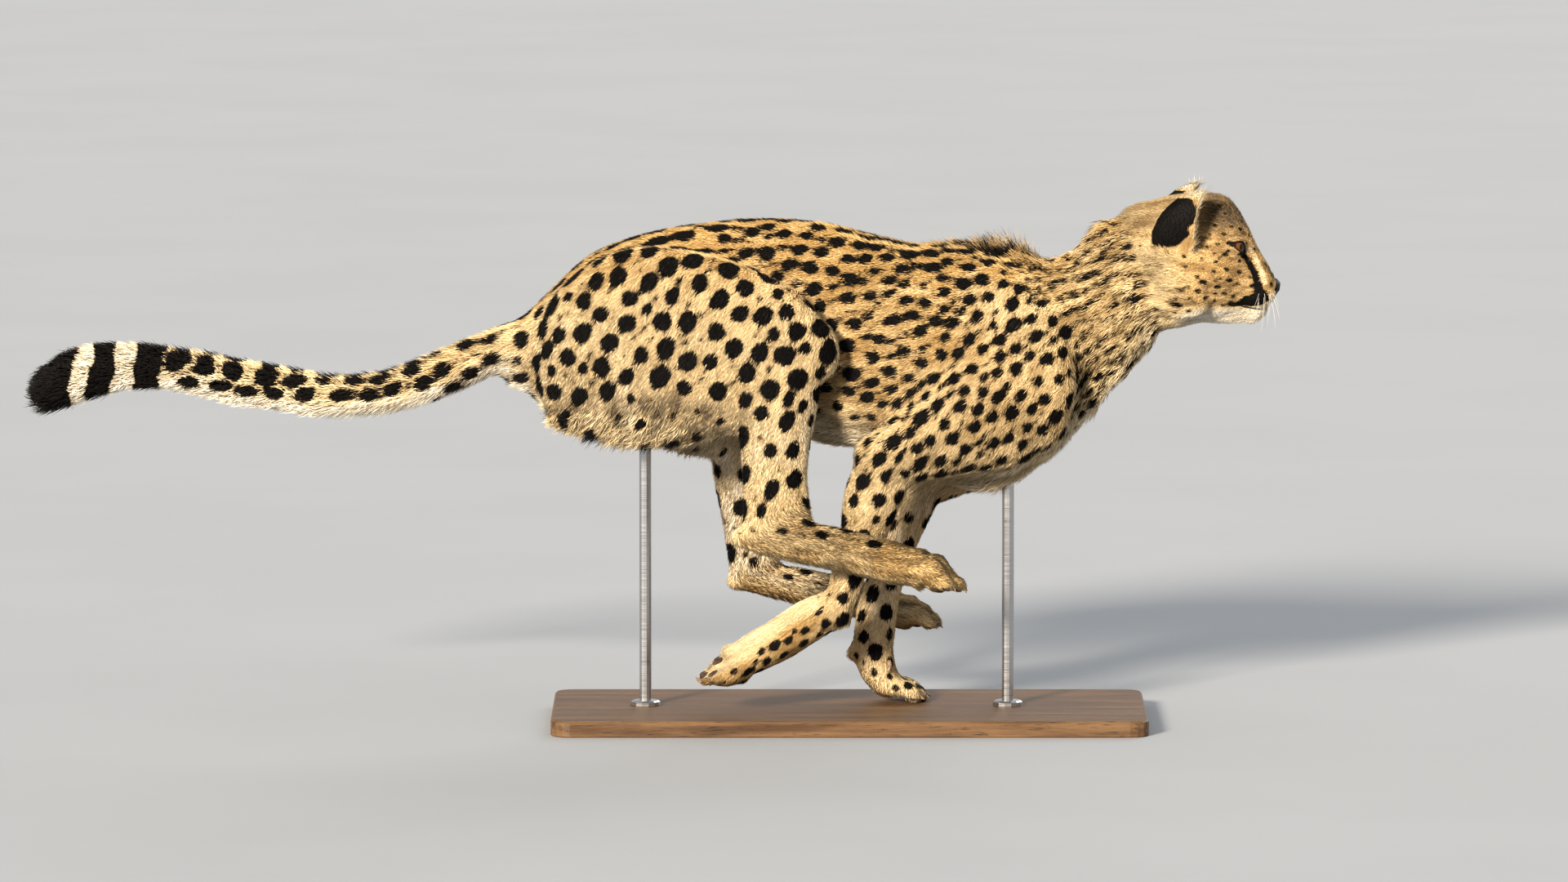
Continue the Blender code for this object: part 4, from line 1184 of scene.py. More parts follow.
def body_spots(field, mesh, parts, lies, points, normals, rng):
    """Marks the round spots of body, head and limbs, longer on the back."""
    tree = point_tree(points * MM)
    longer = table_values(parts, {key: row[1] for key, row in SPOTS.items()}, 1.0)
    corners, shares, sizes = spot_centres(mesh, parts, lies, rng)
    spots = zip(
        between(points, corners, shares),
        unit(between(normals, corners, shares)),
        unit(between(lies, corners, shares)),
        sizes,
        between(longer, corners, shares),
    )
    for centre, normal, lie, size, stretch in spots:
        top = fade(normal[2], 0.5, 0.95) * (centre[2] > 500) * (centre[0] < 230)
        stretch = stretch * (1 + 0.12 * top) * rng.uniform(0.9, 1.15)
        add_spot(field, tree, points, normals, centre, normal, lie, size, stretch, rng)


# Along the tail from its tip: where the black tip ends, and the middle and half width of each ring.
TAIL_TIP_END = 53
TAIL_RINGS = ((89, 15), (152, 18))

# Rows of spots down each side of the tail: angle from its top, where they start, and how tall they are.
TAIL_ROWS = ((0.7, 188, 0.24), (1.95, 210, 0.12))
TAIL_ROW_SPOTS = 13

# Along the tail from its tip: where its own marks stop, and where the body's spots start.
TAIL_MARKS_END = 560
BODY_SPOTS_START = 535

# The field far from any spot.
UNMARKED = -50.0


def tail_marks(field, points, rng):
    """Rings towards the tip of the tail, and rows of spots down its sides further forward."""
    tail = np.array([middle("rump") * (1, 0, 1)] + [middle(name) for name in TAIL])
    low = at("tail_tip", 0, 0.5, 0.5)[0]
    x = points[:, 0]
    height = points[:, 2] - np.interp(x, tail[::-1, 0], tail[::-1, 2])
    angle = np.arctan2(points[:, 1], height)
    wave = 2.5 * np.sin(angle * 2 + x / 23) + 1.5 * np.sin(angle * 5 + x / 11) - height * 0.25
    on_tail = x < at("tail_base", 0.1, 0, 0)[0]
    inside = np.full(len(points), UNMARKED)
    inside = np.maximum(inside, TAIL_TIP_END - (x - low + wave))
    for centre, half in TAIL_RINGS:
        inside = np.maximum(inside, half - np.abs(x - low - centre + wave))
    for i in range(TAIL_ROW_SPOTS):
        for row, start, tall in TAIL_ROWS:
            for side in (1, -1):
                centre = start + i * 40 + rng.uniform(-4, 4)
                facing = np.cos(angle - side * (row + rng.uniform(-0.1, 0.1)))
                reach = 1 - ((x - low - centre + wave) / rng.uniform(13, 15)) ** 2
                inside = np.maximum(inside, (reach - ((1 - facing) / tall) ** 2) * 10)
    inside = np.where(on_tail & (x - low < TAIL_MARKS_END), inside, UNMARKED)
    spots = np.where(x - low > BODY_SPOTS_START, field, UNMARKED)
    return np.where(on_tail, np.maximum(inside, spots), field)


def band(points, path, halves):
    """Millimetres inside a band along a path, given its half widths at its two ends."""
    start, end = halves
    away, along = distance_to_path(points, path)
    return start + (end - start) * along - away


# The field where pale parts of the face have lost their spots.
CLEARED = -6


def stamp(field, where, mark):
    """Adds a mark to the field where it is wanted."""
    field[:] = np.where(where, np.maximum(field, mark), field)


def blend(values, target, share):
    """Moves values a share of the way to a target."""
    values[:] = values + (target - values) * share


def face_marks(field, bare, tone, grey, points, tree, parts, edges):
    """Tear lines, lips, lids, whisker dots and the pale parts of the face, and painted shade on brow, nose
    bridge and eye sockets.
    """
    tip = NOSE_TIP
    on_head = on_parts(parts, ("head", "nose"))
    tear, lips = side_path(tree, TEAR), side_path(tree, LIP_PATCH)
    join = side_path(tree, (TEAR[-2], (-33, -17)))
    behind, pale_path, mouth = side_path(tree, EYE_CORNER), side_path(tree, UNDER_EYE), mouth_path(tree)
    dots = [(-17 - dot * 6, -7 - row * 4.5 + dot * 0.8) for row in range(3) for dot in range(5)]
    dots = side_path(tree, dots)[::PATH_STEPS]
    cheek = side_path(tree, [row[:2] for row in CHEEK_MARKS])[::PATH_STEPS]
    temple = fade(points[:, 2], EYE_CENTRE[2] - 8, EYE_CENTRE[2] + 10) * fade(500 - points[:, 0], 0, 25)
    field[:] = np.where(on_head & (field > -20), field - temple * 1.2, field)
    for flip in ((1, 1, 1), (1, -1, 1)):
        local = points * flip
        keep = on_head & (local[:, 1] > -2)
        mark = band(local, tear, (2.9, 6.2))
        mark = np.maximum(mark, band(local, lips, (4.4, 11.0)))
        mark = np.maximum(mark, band(local, join, (4.2, 4.6)))
        mark = np.maximum(mark, 3.6 - edges)
        mark = np.maximum(mark, band(local, behind, (2.4, 1.2)))
        stamp(field, keep & (mark > -8), mark)
        pale = fade(band(local, pale_path, (2.2, 3.4)), -2.5, 1.5) * keep
        blend(tone, 1.5, pale)
        field[:] = np.where((pale > 0.5) & (mark < 0), CLEARED, field)
        muzzle = fade(24 - np.linalg.norm(local - tip - (-18, 14, -20), axis=1), 0, 14) * keep
        blend(tone, 1.45, muzzle)
        field[:] = np.where(keep & (muzzle > 0.3) & (mark < 0), CLEARED, field)
        for centre, (_, _, half) in zip(cheek, CHEEK_MARKS):
            away = np.linalg.norm((local - centre) / (1.6, 1, 1), axis=1)
            stamp(field, keep & (away < half + 5), half - away)
        for dot in dots:
            away = np.linalg.norm(local - dot, axis=1)
            stamp(field, keep & (away < 2.4), 1.4 - away)
    chin = on_head * fade(tip[2] - 22 - points[:, 2], -6, 12) * fade(points[:, 0], 400, 450)
    blend(tone, 1.9, chin)
    bare_chin = (chin > 0.5) & (points[:, 0] > 470) & (field <= 2)
    field[:] = np.where(bare_chin, np.minimum(field, CLEARED), field)
    nose = np.linalg.norm((points - tip - (-6, 0, 0)) / (1.25, 1.08, 0.86), axis=1)
    nose = on_head * fade(13.8 - nose, -0.7, 0.7)
    lids = fade(1.8 - edges, -0.8, 0.8) * on_head
    lips = np.maximum(*[band(points, line, (1.5, 2.6)) for line in (mouth, mirrored(mouth))])
    for share in (nose, lids, fade(lips, -0.6, 0.9) * on_head):
        stamp(bare, True, share)
    # Painted shade: dark grey over the brow, stronger on the bridge of the nose, and round the eye sockets.
    brow = fade(points[:, 2], EYE_CENTRE[2] + 14, EYE_CENTRE[2] + 34) * on_head
    front = fade(points[:, 0], 455, 495) * brow
    socket = fade(np.minimum(edges, 30), 26, 4) * on_head * (points[:, 2] > EYE_CENTRE[2] - 6)
    for share in (brow * 0.42, front * 0.72, socket * 0.35):
        stamp(grey, True, share)
    ruff = fade(470 - points[:, 0], 0, 60) * fade(tip[2] + 75 - points[:, 2], 0, 40) * on_head
    blend(tone, 0.85, ruff)


def ear_marks(field, tone, grey, sizes, stand, points, normals, parts):
    """A black patch on the back of each ear, with a pale rim, and pale hair inside with painted shade deep
    in the cup.
    """
    for name in EARS:
        side = 1 if name.endswith("left") else -1
        low, high = at(name, 0, 0, 0), at(name, 1, 1, 1)
        share = (points[:, 2] - low[2]) / (high[2] - low[2])
        back = normals @ unit((-0.9, 0.25 * side, 0.1)) > 0.1
        on_ear = parts == FLESH.index(name)
        centre = np.array([low[0] + (high[0] - low[0]) * 0.4, 0, low[2] + (high[2] - low[2]) * 0.52])
        offset = (points - centre) @ np.array([(0.48, 0.88), (0, 0), (0.88, -0.48)])
        away = np.hypot(offset[:, 0] / 43, offset[:, 1] / 25)
        away[on_ear] += [0.3 * noise.noise(Vector(p) * 0.09) for p in points[on_ear]]
        tipped = fade(share, 0.86, 0.95)
        field[:] = np.where(on_ear & back, (1 - away) * 20 - tipped * 30, np.where(on_ear, -20, field))
        tone[:] = np.where(on_ear, np.where(back, tipped * 1.2 + 0.4, 1.3), tone)
        cup = on_ear & (normals @ unit((0.9, 0.3 * side, 0.1)) > 0.35)
        rim = fade(share, 0.45, 0.85)
        sizes[:, 1] = np.where(cup, 11 + 5 * rim, sizes[:, 1])
        sizes[:, 3] = np.where(cup, 1.9, sizes[:, 3])
        stand[:] = np.where(cup, 0.3, stand)
        # Painted shade deep in the ear's cup, fading towards the rim.
        grey[:] = np.where(cup, 0.75 * (1 - rim), grey)


def foot_marks(field, tone, points, normals, parts):
    """Soles without spots, pale under the forepaws and sandy under the hind feet, and painted shade as dark
    lines in the grooves between the toes.
    """
    for paw in PAWS:
        way, sole = toe_frame(paw)
        hind = paw.startswith("hind")
        names = [paw] + ([paw.replace("hind_paw", "metatarsus")] if hind else [])
        here = on_parts(parts, names)
        facing = normals @ sole
        top = fade(-facing, 0.02, 0.4) if hind else fade(-facing, -0.45, -0.1)
        field[:] = np.where(here, field - (1 - top) * 9, field)
        under = fade(facing, 0.0, 0.6)
        tone[:] = np.where(here, tone + ((0.35 if hind else 1.2) - tone) * under, tone)
        if paw == "fore_paw_left":
            continue
        # Painted shade: dark lines down the grooves between the toes.
        roots = toe_roots(paw)
        for first, second in zip(roots, roots[1:]):
            front = (first + second) / 2 + way * 6
            lines = [(front - sole * lift, front - way * 26 - sole * (lift + 2)) for lift in (2, 9, 15)]
            away = np.min([distance_to_path(points, line)[0] for line in lines], axis=0)
            stamp(field, here & (away < 8), 2.4 - away)
    far = parts == FLESH.index("fore_paw_left")
    tone[:] = np.where(far, np.maximum(tone, 1.0), tone)
    field[:] = np.where(far, field - 1.2, field)


# Places of dark grey locks: centre, reach and strength. The mane's are smoky hair; those on the metatarsi
# are painted shade between the locks, darker on the far left leg. The fringe's are painted shade under
# belly, chest, thighs and feet, darker on the far left hind paw, and also lose their spots.
MANE_SMOKE_AND_LEG_SHADE = (
    (at("chest", 0.6, 0.5, 0.97), (120, 60, 40), 0.7),
    (at("neck", 0.35, 0.5, 0.85), (120, 55, 60), 0.5),
    (at("metatarsus_right", 0.6, 0.5, 0.3), (110, 60, 60), 0.55),
    (at("metatarsus_left", 0.6, 0.5, 0.3), (110, 60, 60), 0.7),
)
# Painted shade: under the thighs, belly and chest, and on the feet, strongest on the far left hind paw.
PAINTED_FRINGE_SHADE = (
    (at("thigh_right", 0.42, 0.4, 0.03) + (0, 0, 34), (175, 70, 46), 1.0),
    (at("thigh_left", 0.42, 0.6, 0.03) + (0, 0, 34), (175, 70, 46), 1.0),
    (at("loin", 0.75, 0.5, 0.12), (120, 110, 70), 0.75),
    (at("chest", 0.12, 0.5, 0.15), (90, 110, 70), 0.6),
    (at("chest", 0.55, 0.5, 0.05), (150, 90, 45), 0.45),
    (at("hind_paw_right", 0.5, 0.5, 0.5), (80, 60, 60), 0.75),
    (at("hind_paw_left", 0.5, 0.5, 0.5), (80, 60, 60), 0.95),
    (at("fore_paw_right", 0.1, 0.5, 0.2), (45, 60, 45), 0.7),
)


def smoke_and_shade_locks(grey, points, own):
    """Smoky locks in the mane, and locks of painted shade in the long hair of belly and thighs and on feet
    and hind legs.

    Returns how strong the fringe's painted shade is at each point."""
    fringe_shade = np.zeros(len(points))
    locks = 1 - fade(own, 0.25, 0.75)
    for centre, radii, share in MANE_SMOKE_AND_LEG_SHADE:
        stamp(grey, True, mound(points, centre, radii) * share * locks)
    for centre, radii, share in PAINTED_FRINGE_SHADE:
        near = mound(points, centre, radii) * share
        fringe_shade = np.maximum(fringe_shade, near)
        stamp(grey, True, near * locks)
    return fringe_shade


def ground_tone(points, normals, parts, ends):
    """Tawny above, cream on flank and leg, white below."""
    tone = spread(table_values(parts, TONE), ends, 140)
    hind = on_parts(parts, ("thigh_left", "thigh_right", "rump"))
    tone = tone - 0.5 * spread(hind * fade(points[:, 2], 530, 640), ends, 30)
    trunk, limb, on_tail = (on_parts(parts, names) for names in (TRUNK, LIMBS, TAIL))
    below = fade(-normals[:, 2], 0.1, 0.8)
    floor = np.interp(points[:, 0], (-300, -100, 60, 300, 400), (430, 400, 350, 360, 500))
    low = fade(floor + 75 - points[:, 2], 0, 70)
    tone = tone + trunk * (1.35 - tone) * np.clip(below * 0.8 + low, 0, 1)
    back = fade(normals[:, 2], 0.35, 0.95) * trunk
    tone = tone * (1 - 0.55 * back)
    inner = fade(-normals[:, 1] * np.sign(points[:, 1]), 0.1, 0.8) * limb
    tone = tone + (1.5 - tone) * inner * 0.8
    tone = tone + on_tail * (1.9 - tone) * fade(-normals[:, 2], -0.1, 0.7)
    return spread(tone, ends, 6)


# What is stored at each point of the skin, in this order.
SKIN_VALUES = (
    "lie", "tone", "spot", "bare", "grey", "part",
    "depth", "length", "width", "room", "stand", "lid", "own",
)


def mark_skin(skin, settings, head):
    """Stores the lie of the coat and all markings on the skin's points."""
    rng = np.random.default_rng(settings.seed)
    noise.seed_set(settings.seed)
    mesh = skin.data
    points, normals = point_array(mesh) / MM, normal_array(mesh)
    ends = edge_array(mesh)
    parts = parts_of(points * MM)
    lie = spread(np.array([part_lie(name) for name in FLESH])[parts], ends, 30)
    lie = along_skin(lie + swirls(points, 0.02) * 0.16, normals)
    sizes, stand = coat_sizes(points, parts, ends)
    tone = ground_tone(points, normals, parts, ends)
    field, bare, grey = np.full(len(points), UNMARKED), np.zeros(len(points)), np.zeros(len(points))
    body_spots(field, mesh, parts, lie, points, normals, rng)
    field = tail_marks(field, points, rng)
    half = head.eye_half_width / MM, head.eye_half_height / MM
    left, right = lid_edge(points, 1, *half), lid_edge(points, -1, *half)
    outside = np.where(np.minimum(left[1], right[1]) < 24, np.minimum(left[0], right[0]), FAR_FROM_LIDS)
    face_marks(field, bare, tone, grey, points, search_tree(points, mesh), parts, outside)
    ear_marks(field, tone, grey, sizes, stand, points, normals, parts)
    foot_marks(field, tone, points, normals, parts)
    own = streaks(points, ends, lie, rng)
    on_head = parts == FLESH.index("head")
    # Painted shade between the locks of the head, and over the brow.
    grey = np.maximum(grey, on_head * (0.5 * (1 - fade(own, 0.2, 0.6))) * (tone < 1))
    brow = fade(points[:, 2], EYE_CENTRE[2] + 12, EYE_CENTRE[2] + 34) * fade(points[:, 0], 450, 490)
    grey = np.maximum(grey, on_head * brow * (0.75 + 0.25 * (own < 0.5)))
    # Painted shade of the fringe, which also fades the spots beneath it.
    fringe_shade = smoke_and_shade_locks(grey, points, own)
    belly = fade(tone, 1.1, 1.35) * (points[:, 0] < 330) * (points[:, 2] > 280) * ~on_parts(parts, TAIL)
    field = np.where(field > -20, field - belly * 3.5 - fringe_shade * 7, field)
    stored = (lie, tone, field, bare, grey, parts, *sizes.T, stand, outside, own)
    for name, values in zip(SKIN_VALUES, stored):
        put_attribute(mesh, name, values)


# ---------------------------------------------------------------- coat


# The pieces of the coat, and the flesh that each grows on. Head and nose are shared by two.
COAT_PIECES = {
    **{f"coat_head_{side}": ("head", "nose", f"ear_{side}") for side in SIDES},
    **{f"coat_{part}": (part,) for part in TRUNK},
    "coat_tail": TAIL,
    **{f"coat_foreleg_{side}": tuple(f"{part}_{side}" for part in FORELIMB) for side in SIDES},
    **{f"coat_thigh_{side}": (f"thigh_{side}",) for side in SIDES},
    **{f"coat_hind_leg_{side}": tuple(f"{part}_{side}" for part in HINDLIMB[1:]) for side in SIDES},
}


def tuft_arrays(root, normal, lie, length, width, depth, stand, rng):
    """Closed three-sided spikes that rise from the skin and bend over along the lie."""
    count = len(root)
    side = unit(np.cross(normal, lie) + lie * rng.normal(0, 0.05, (count, 1)))
    slope = np.clip(depth / length + stand, 0.08, 0.85) * rng.uniform(0.65, 1.25, count)
    way = unit(lie * np.sqrt(np.clip(1 - slope**2, 0.05, 1))[:, None] + normal * slope[:, None])
    sink = normal * np.minimum(width * 0.6, 0.9)[:, None]
    half = side * (width / 2)[:, None]
    ridge = normal * (width * 0.42)[:, None]
    base = np.stack([root - half - sink, root + half - sink, root + ridge * 0.4], axis=1)
    curl = side * rng.normal(0, 0.16, (count, 1))
    bow = normal * (0.10 * length)[:, None]
    mid_place = root + (way * length[:, None]) * 0.5 + bow + curl * length[:, None] * 0.3
    mid = np.stack([mid_place - half * 0.8, mid_place + half * 0.8, mid_place + ridge * 0.8], axis=1)
    tip = root + way * length[:, None] - bow * 0.4 + curl * length[:, None]
    return base, mid, tip


# A tuft's faces, how far each of its points is from the root, and where the points lie in the tuft's
# patch of the bake. A long tuft has three points more, half way up.
SHORT_TUFT = (
    np.array([(0, 2, 3), (2, 1, 3), (1, 0, 3), (0, 1, 2)]),
    np.array([0, 0, 0, 1.0]),
    np.array([(-1, -1), (1, -1), (0, -0.3), (0, 1)]),
)
LONG_TUFT = (
    np.array([
        (0, 1, 2), (0, 2, 5), (0, 5, 3), (2, 1, 4), (2, 4, 5),
        (1, 0, 3), (1, 3, 4), (3, 5, 6), (5, 4, 6), (4, 3, 6),
    ]),
    np.array([0, 0, 0, 0.5, 0.5, 0.5, 1.0]),
    np.array([(-1, -1), (1, -1), (0, -0.8), (-0.8, 0), (0.8, 0), (0, 0.1), (0, 1)]),
)
BAKE_PATCH = 0.0015

# Room left free at the sides of each part's column of the bake, and above and below it.
U_MARGIN = 0.02
V_MARGIN = 0.005


def bake_places(root, names, parts):
    """Each root's place on an unwrap of its part: along the part, and round it."""
    u, v = np.zeros(len(root)), np.zeros(len(root))
    for column, name in enumerate(names):
        own = parts == FLESH.index(name)
        if not own.any():
            continue
        axis = part_lie(name)
        centre = middle(name)
        offset = root[own] - centre
        along = offset @ axis
        side = unit(np.cross(axis, (0.0, 1.0, 0.02)))
        other = np.cross(axis, side)
        angle = np.arctan2(offset @ other, offset @ side)
        low, high = along.min(), along.max()
        share = (along - low) / max(high - low, 1e-6)
        u[own] = (column + U_MARGIN + share * (1 - 2 * U_MARGIN)) / len(names)
        v[own] = V_MARGIN + (angle / (2 * math.pi) + 0.5) * (1 - 2 * V_MARGIN)
    return np.stack([u, v], axis=1)


def tuft_mesh(name, base, mid, tip, long, places):
    """Every tuft as one mesh, with a bake layer. Returns also the height and the tuft of each point."""
    blocks, faces, along, shifts, owner = [], [], [], [], []
    start = 0
    for take, levels, (table, heights, patch) in (
        (~long, (base, tip[:, None]), SHORT_TUFT),
        (long, (base, mid, tip[:, None]), LONG_TUFT),
    ):
        number, each = int(take.sum()), len(heights)
        if not number:
            continue
        block = np.concatenate([level[take] for level in levels], axis=1)
        blocks.append(block.reshape(-1, 3))
        faces.append((table[None] + (start + np.arange(number) * each)[:, None, None]).reshape(-1, 3))
        along.append(np.tile(heights, number))
        shifts.append(np.tile(patch * BAKE_PATCH, (number, 1)))
        owner.append(np.repeat(np.flatnonzero(take), each))
        start += number * each
    points, faces, along, shifts, owner = map(np.concatenate, (blocks, faces, along, shifts, owner))
    mesh = bpy.data.meshes.new(name)
    mesh.vertices.add(len(points))
    mesh.vertices.foreach_set("co", (points * MM).astype(np.float32).ravel())
    mesh.loops.add(len(faces) * 3)
    mesh.loops.foreach_set("vertex_index", faces.astype(np.int32).ravel())
    mesh.polygons.add(len(faces))
    mesh.polygons.foreach_set("loop_start", np.arange(0, len(faces) * 3, 3, dtype=np.int32))
    mesh.update(calc_edges=True)
    mesh.shade_smooth()
    bake = places[owner] + shifts
    layer = mesh.uv_layers.new(name="OFBake")
    layer.data.foreach_set("uv", bake[faces.ravel()].astype(np.float32).ravel())
    return mesh, along, owner


# How much of its root's colour the tip of a tuft keeps, the rest being that of the skin beneath it.
ROOT_SHARE = 0.3

# Tufts longer than this bend at half their height.
LONG_FROM = 21.0

# Tufts grow where the skin is less bare than this, and this far from the slit between the lids.
BARE_FROM = 0.3
LID_ROOM = 1.3


def build_coat_piece(name, settings, skin_values, skin_tree, samples, material):
    """Grows one piece of the coat from its share of the samples."""
    corners, shares = samples
    rng = np.random.default_rng(settings.seed + len(name))
    part = skin_values["part"][corners[:, 0]].astype(int)
    wanted = on_parts(part, COAT_PIECES[name])
    if name.startswith("coat_head"):
        across = between(skin_values["co"][:, 1], corners, shares)
        wanted &= (across > 0) == name.endswith("left")
    corners, shares, part = corners[wanted], shares[wanted], part[wanted]
    values = {key: between(skin_values[key], corners, shares) for key in skin_values if key != "part"}
    keep = (values["bare"] < BARE_FROM) & (values["lid"] > LID_ROOM)
    corners, shares, part = corners[keep], shares[keep], part[keep]
    values = {key: value[keep] for key, value in values.items()}
    root, normal = values["co"] / MM, unit(values["normal"])
    count = len(root)
    if not count:
        raise RuntimeError(f"{name} has no tufts")
    lock = values["own"]
    own = lock * 0.65 + rng.random(count) * 0.35
    loose = 0.22 + 0.30 * fade(values["length"], 12, 26)[:, None]
    lie = values["lie"] + swirls(root, 0.11) * loose + rng.normal(0, 0.09, (count, 3))
    lie = along_skin(lie, normal)
    length = values["length"] * settings.tuft_length * rng.uniform(0.75, 1.2, count) * (0.85 + 0.3 * lock)
    long = values["length"] > LONG_FROM
    width = values["width"] * rng.uniform(0.8, 1.25, count)
    length = length * (0.45 + 0.55 * fade(values["lid"], 1.0, 9.0))
    depth = values["depth"] * (0.6 + 0.8 * lock)
    base, mid, tip = tuft_arrays(root, normal, lie, length, width, depth, values["stand"], rng)
    places = bake_places(root, COAT_PIECES[name], part)
    mesh, along, owner = tuft_mesh(name, base, mid, tip, long, places)
    ragged = rng.normal(0, 0.6, count)
    end = np.array([skin_tree.find(point)[1] for point in (tip * MM).tolist()])
    under = end.copy()
    under[long] = [skin_tree.find(point)[1] for point in (mid[long].mean(axis=1) * MM).tolist()]
    kept = ROOT_SHARE * (1 - 0.8 * fade(values["length"], 12, 20))
    for key in ("spot", "tone", "grey"):
        first, half, last = values[key], skin_values[key][under], skin_values[key][end]
        last, half = last + (first - last) * kept, half + (first - half) * kept
        mark = first[owner] * (1 - along) * (1 - 2 * along)
        mark += half[owner] * 4 * along * (1 - along) + last[owner] * along * (2 * along - 1)
        put_attribute(mesh, key, mark + ragged[owner] * (key == "spot"))
    put_attribute(mesh, "own", own[owner])
    put_attribute(mesh, "along", along)
    mesh.materials.append(material)
    obj = place(name, mesh)
    print(name, count, "tufts", len(mesh.polygons), "triangles")
    return obj


# ---------------------------------------------------------------- eyes, pads, whiskers, claws


def eye_material(head):
    """Iris with fine rays round a round pupil, darkened from amber as painted shade, and a dark rim, under
    a wet gloss.
    """
    material, tree, shader = new_material("eye", roughness=0.18, specular=0.2)
    gaze = attribute(tree, "gaze")
    rays = noise_node(tree, object_coordinates(tree), 900.0, 2.0, 0.5)
    iris = mixed(tree, ranged(tree, rays, 0.35, 0.65), head.iris, (0.2, 0.07, 0.015))
    pupil = ranged(tree, gaze, 0.962, 0.968)
    rim = ranged(tree, gaze, 0.80, 0.86)
    with_rim = mixed(tree, rim, (0.02, 0.012, 0.008), iris)
    tree.links.new(mixed(tree, pupil, with_rim, (0.002, 0.002, 0.002)), shader.inputs["Base Color"])
    shader.inputs["Coat Weight"].default_value = 0.35
    shader.inputs["Coat Roughness"].default_value = 0.02
    return material


def build_eye(side, name):
    """An eyeball with a raised cornea, facing the same way as its lids open."""
    flip = np.array([1, side, 1])
    body = bmesh.new()
    bmesh.ops.create_uvsphere(body, u_segments=48, v_segments=32, radius=1.0)
    points = np.array([vertex.co for vertex in body.verts])
    gaze = points[:, 2].copy()
    turn = Vector((0, 0, 1)).rotation_difference(Vector(EYE_GAZE * flip)).to_matrix()
    raised = EYE_RADIUS + 0.9 * fade(gaze, 0.78, 0.97)
    points = (points * raised[:, None]) @ np.array(turn).T + EYE_CENTRE * flip
    mesh = as_mesh(body, name)
    put_points(mesh, points * MM)
    put_attribute(mesh, "gaze", gaze)
    mesh.shade_smooth()
    return place(name, mesh)


def leather_material():
    """Dark rough pads with fine cracks."""
    material, tree, shader = new_material("pad leather", roughness=0.7, specular=0.35)
    place_of = object_coordinates(tree)
    broad = noise_node(tree, place_of, 120.0)
    colour = mixed(tree, ranged(tree, broad, 0.3, 0.7), (0.055, 0.034, 0.024), (0.13, 0.082, 0.055))
    cracks = ranged(tree, cell_node(tree, place_of, 620.0, "DISTANCE_TO_EDGE"), 0.0, 0.12)
    tree.links.new(mixed(tree, cracks, (0.02, 0.013, 0.01), colour), shader.inputs["Base Color"])
    bumped(tree, shader, cracks, 0.0006, 0.8)
    return material


def add_pad(body, centre, radii, axes):
    """One flattened mound of leather."""
    turned = Matrix([list(axis) for axis in axes]).transposed().to_4x4()
    scale = Matrix.Diagonal((*[r * MM for r in radii], 1))
    matrix = Matrix.Translation(Vector(centre) * MM) @ turned @ scale
    bmesh.ops.create_icosphere(body, subdivisions=3, radius=1.0, matrix=matrix)


def build_pads(skin):
    """Toe pads and a three-lobed heel pad under each paw, set into the skin."""
    tree = search_tree(point_array(skin.data) / MM, skin.data)
    body = bmesh.new()
    for paw in PAWS:
        way, sole = toe_frame(paw)
        across = np.cross(sole, way)
        roots = toe_roots(paw)
        heel = np.mean(roots, axis=0) - way * 27
        places = [(root - way * 8, (8, 5.4, 3.4)) for root in roots]
        places += [(heel + across * shift, (10, 7.5, 4.2)) for shift in (-9, 0, 9)]
        for centre, radii in places:
            hit = tree.ray_cast(Vector(centre + sole * 30), Vector(-sole))[0]
            if hit is not None:
                add_pad(body, np.array(hit) - sole * radii[2] * 0.55, radii, (way, across, sole))
    mesh = as_mesh(body, "pads")
    mesh.shade_smooth()
    return place("pads", mesh)


def claw_material():
    """Horn with fine pale and dark bands."""
    material, tree, shader = new_material("claw horn", roughness=0.3, specular=0.5)
    rings = noise_node(tree, object_coordinates(tree), 260.0, 2.0)
    two_toned(tree, shader, rings, (0.3, 0.2, 0.12), (0.12, 0.075, 0.045))
    bumped(tree, shader, rings, 0.0003, 0.5)
    shader.inputs["Coat Weight"].default_value = 0.3
    return material


def build_claws():
    """The claws' own solids, rounded."""
    claws = joined("claws", CLAWS)
    smooth = claws.modifiers.new("round", "SUBSURF")
    smooth.levels = smooth.render_levels = 2
    applied(claws)
    claws.data.shade_smooth()
    return claws


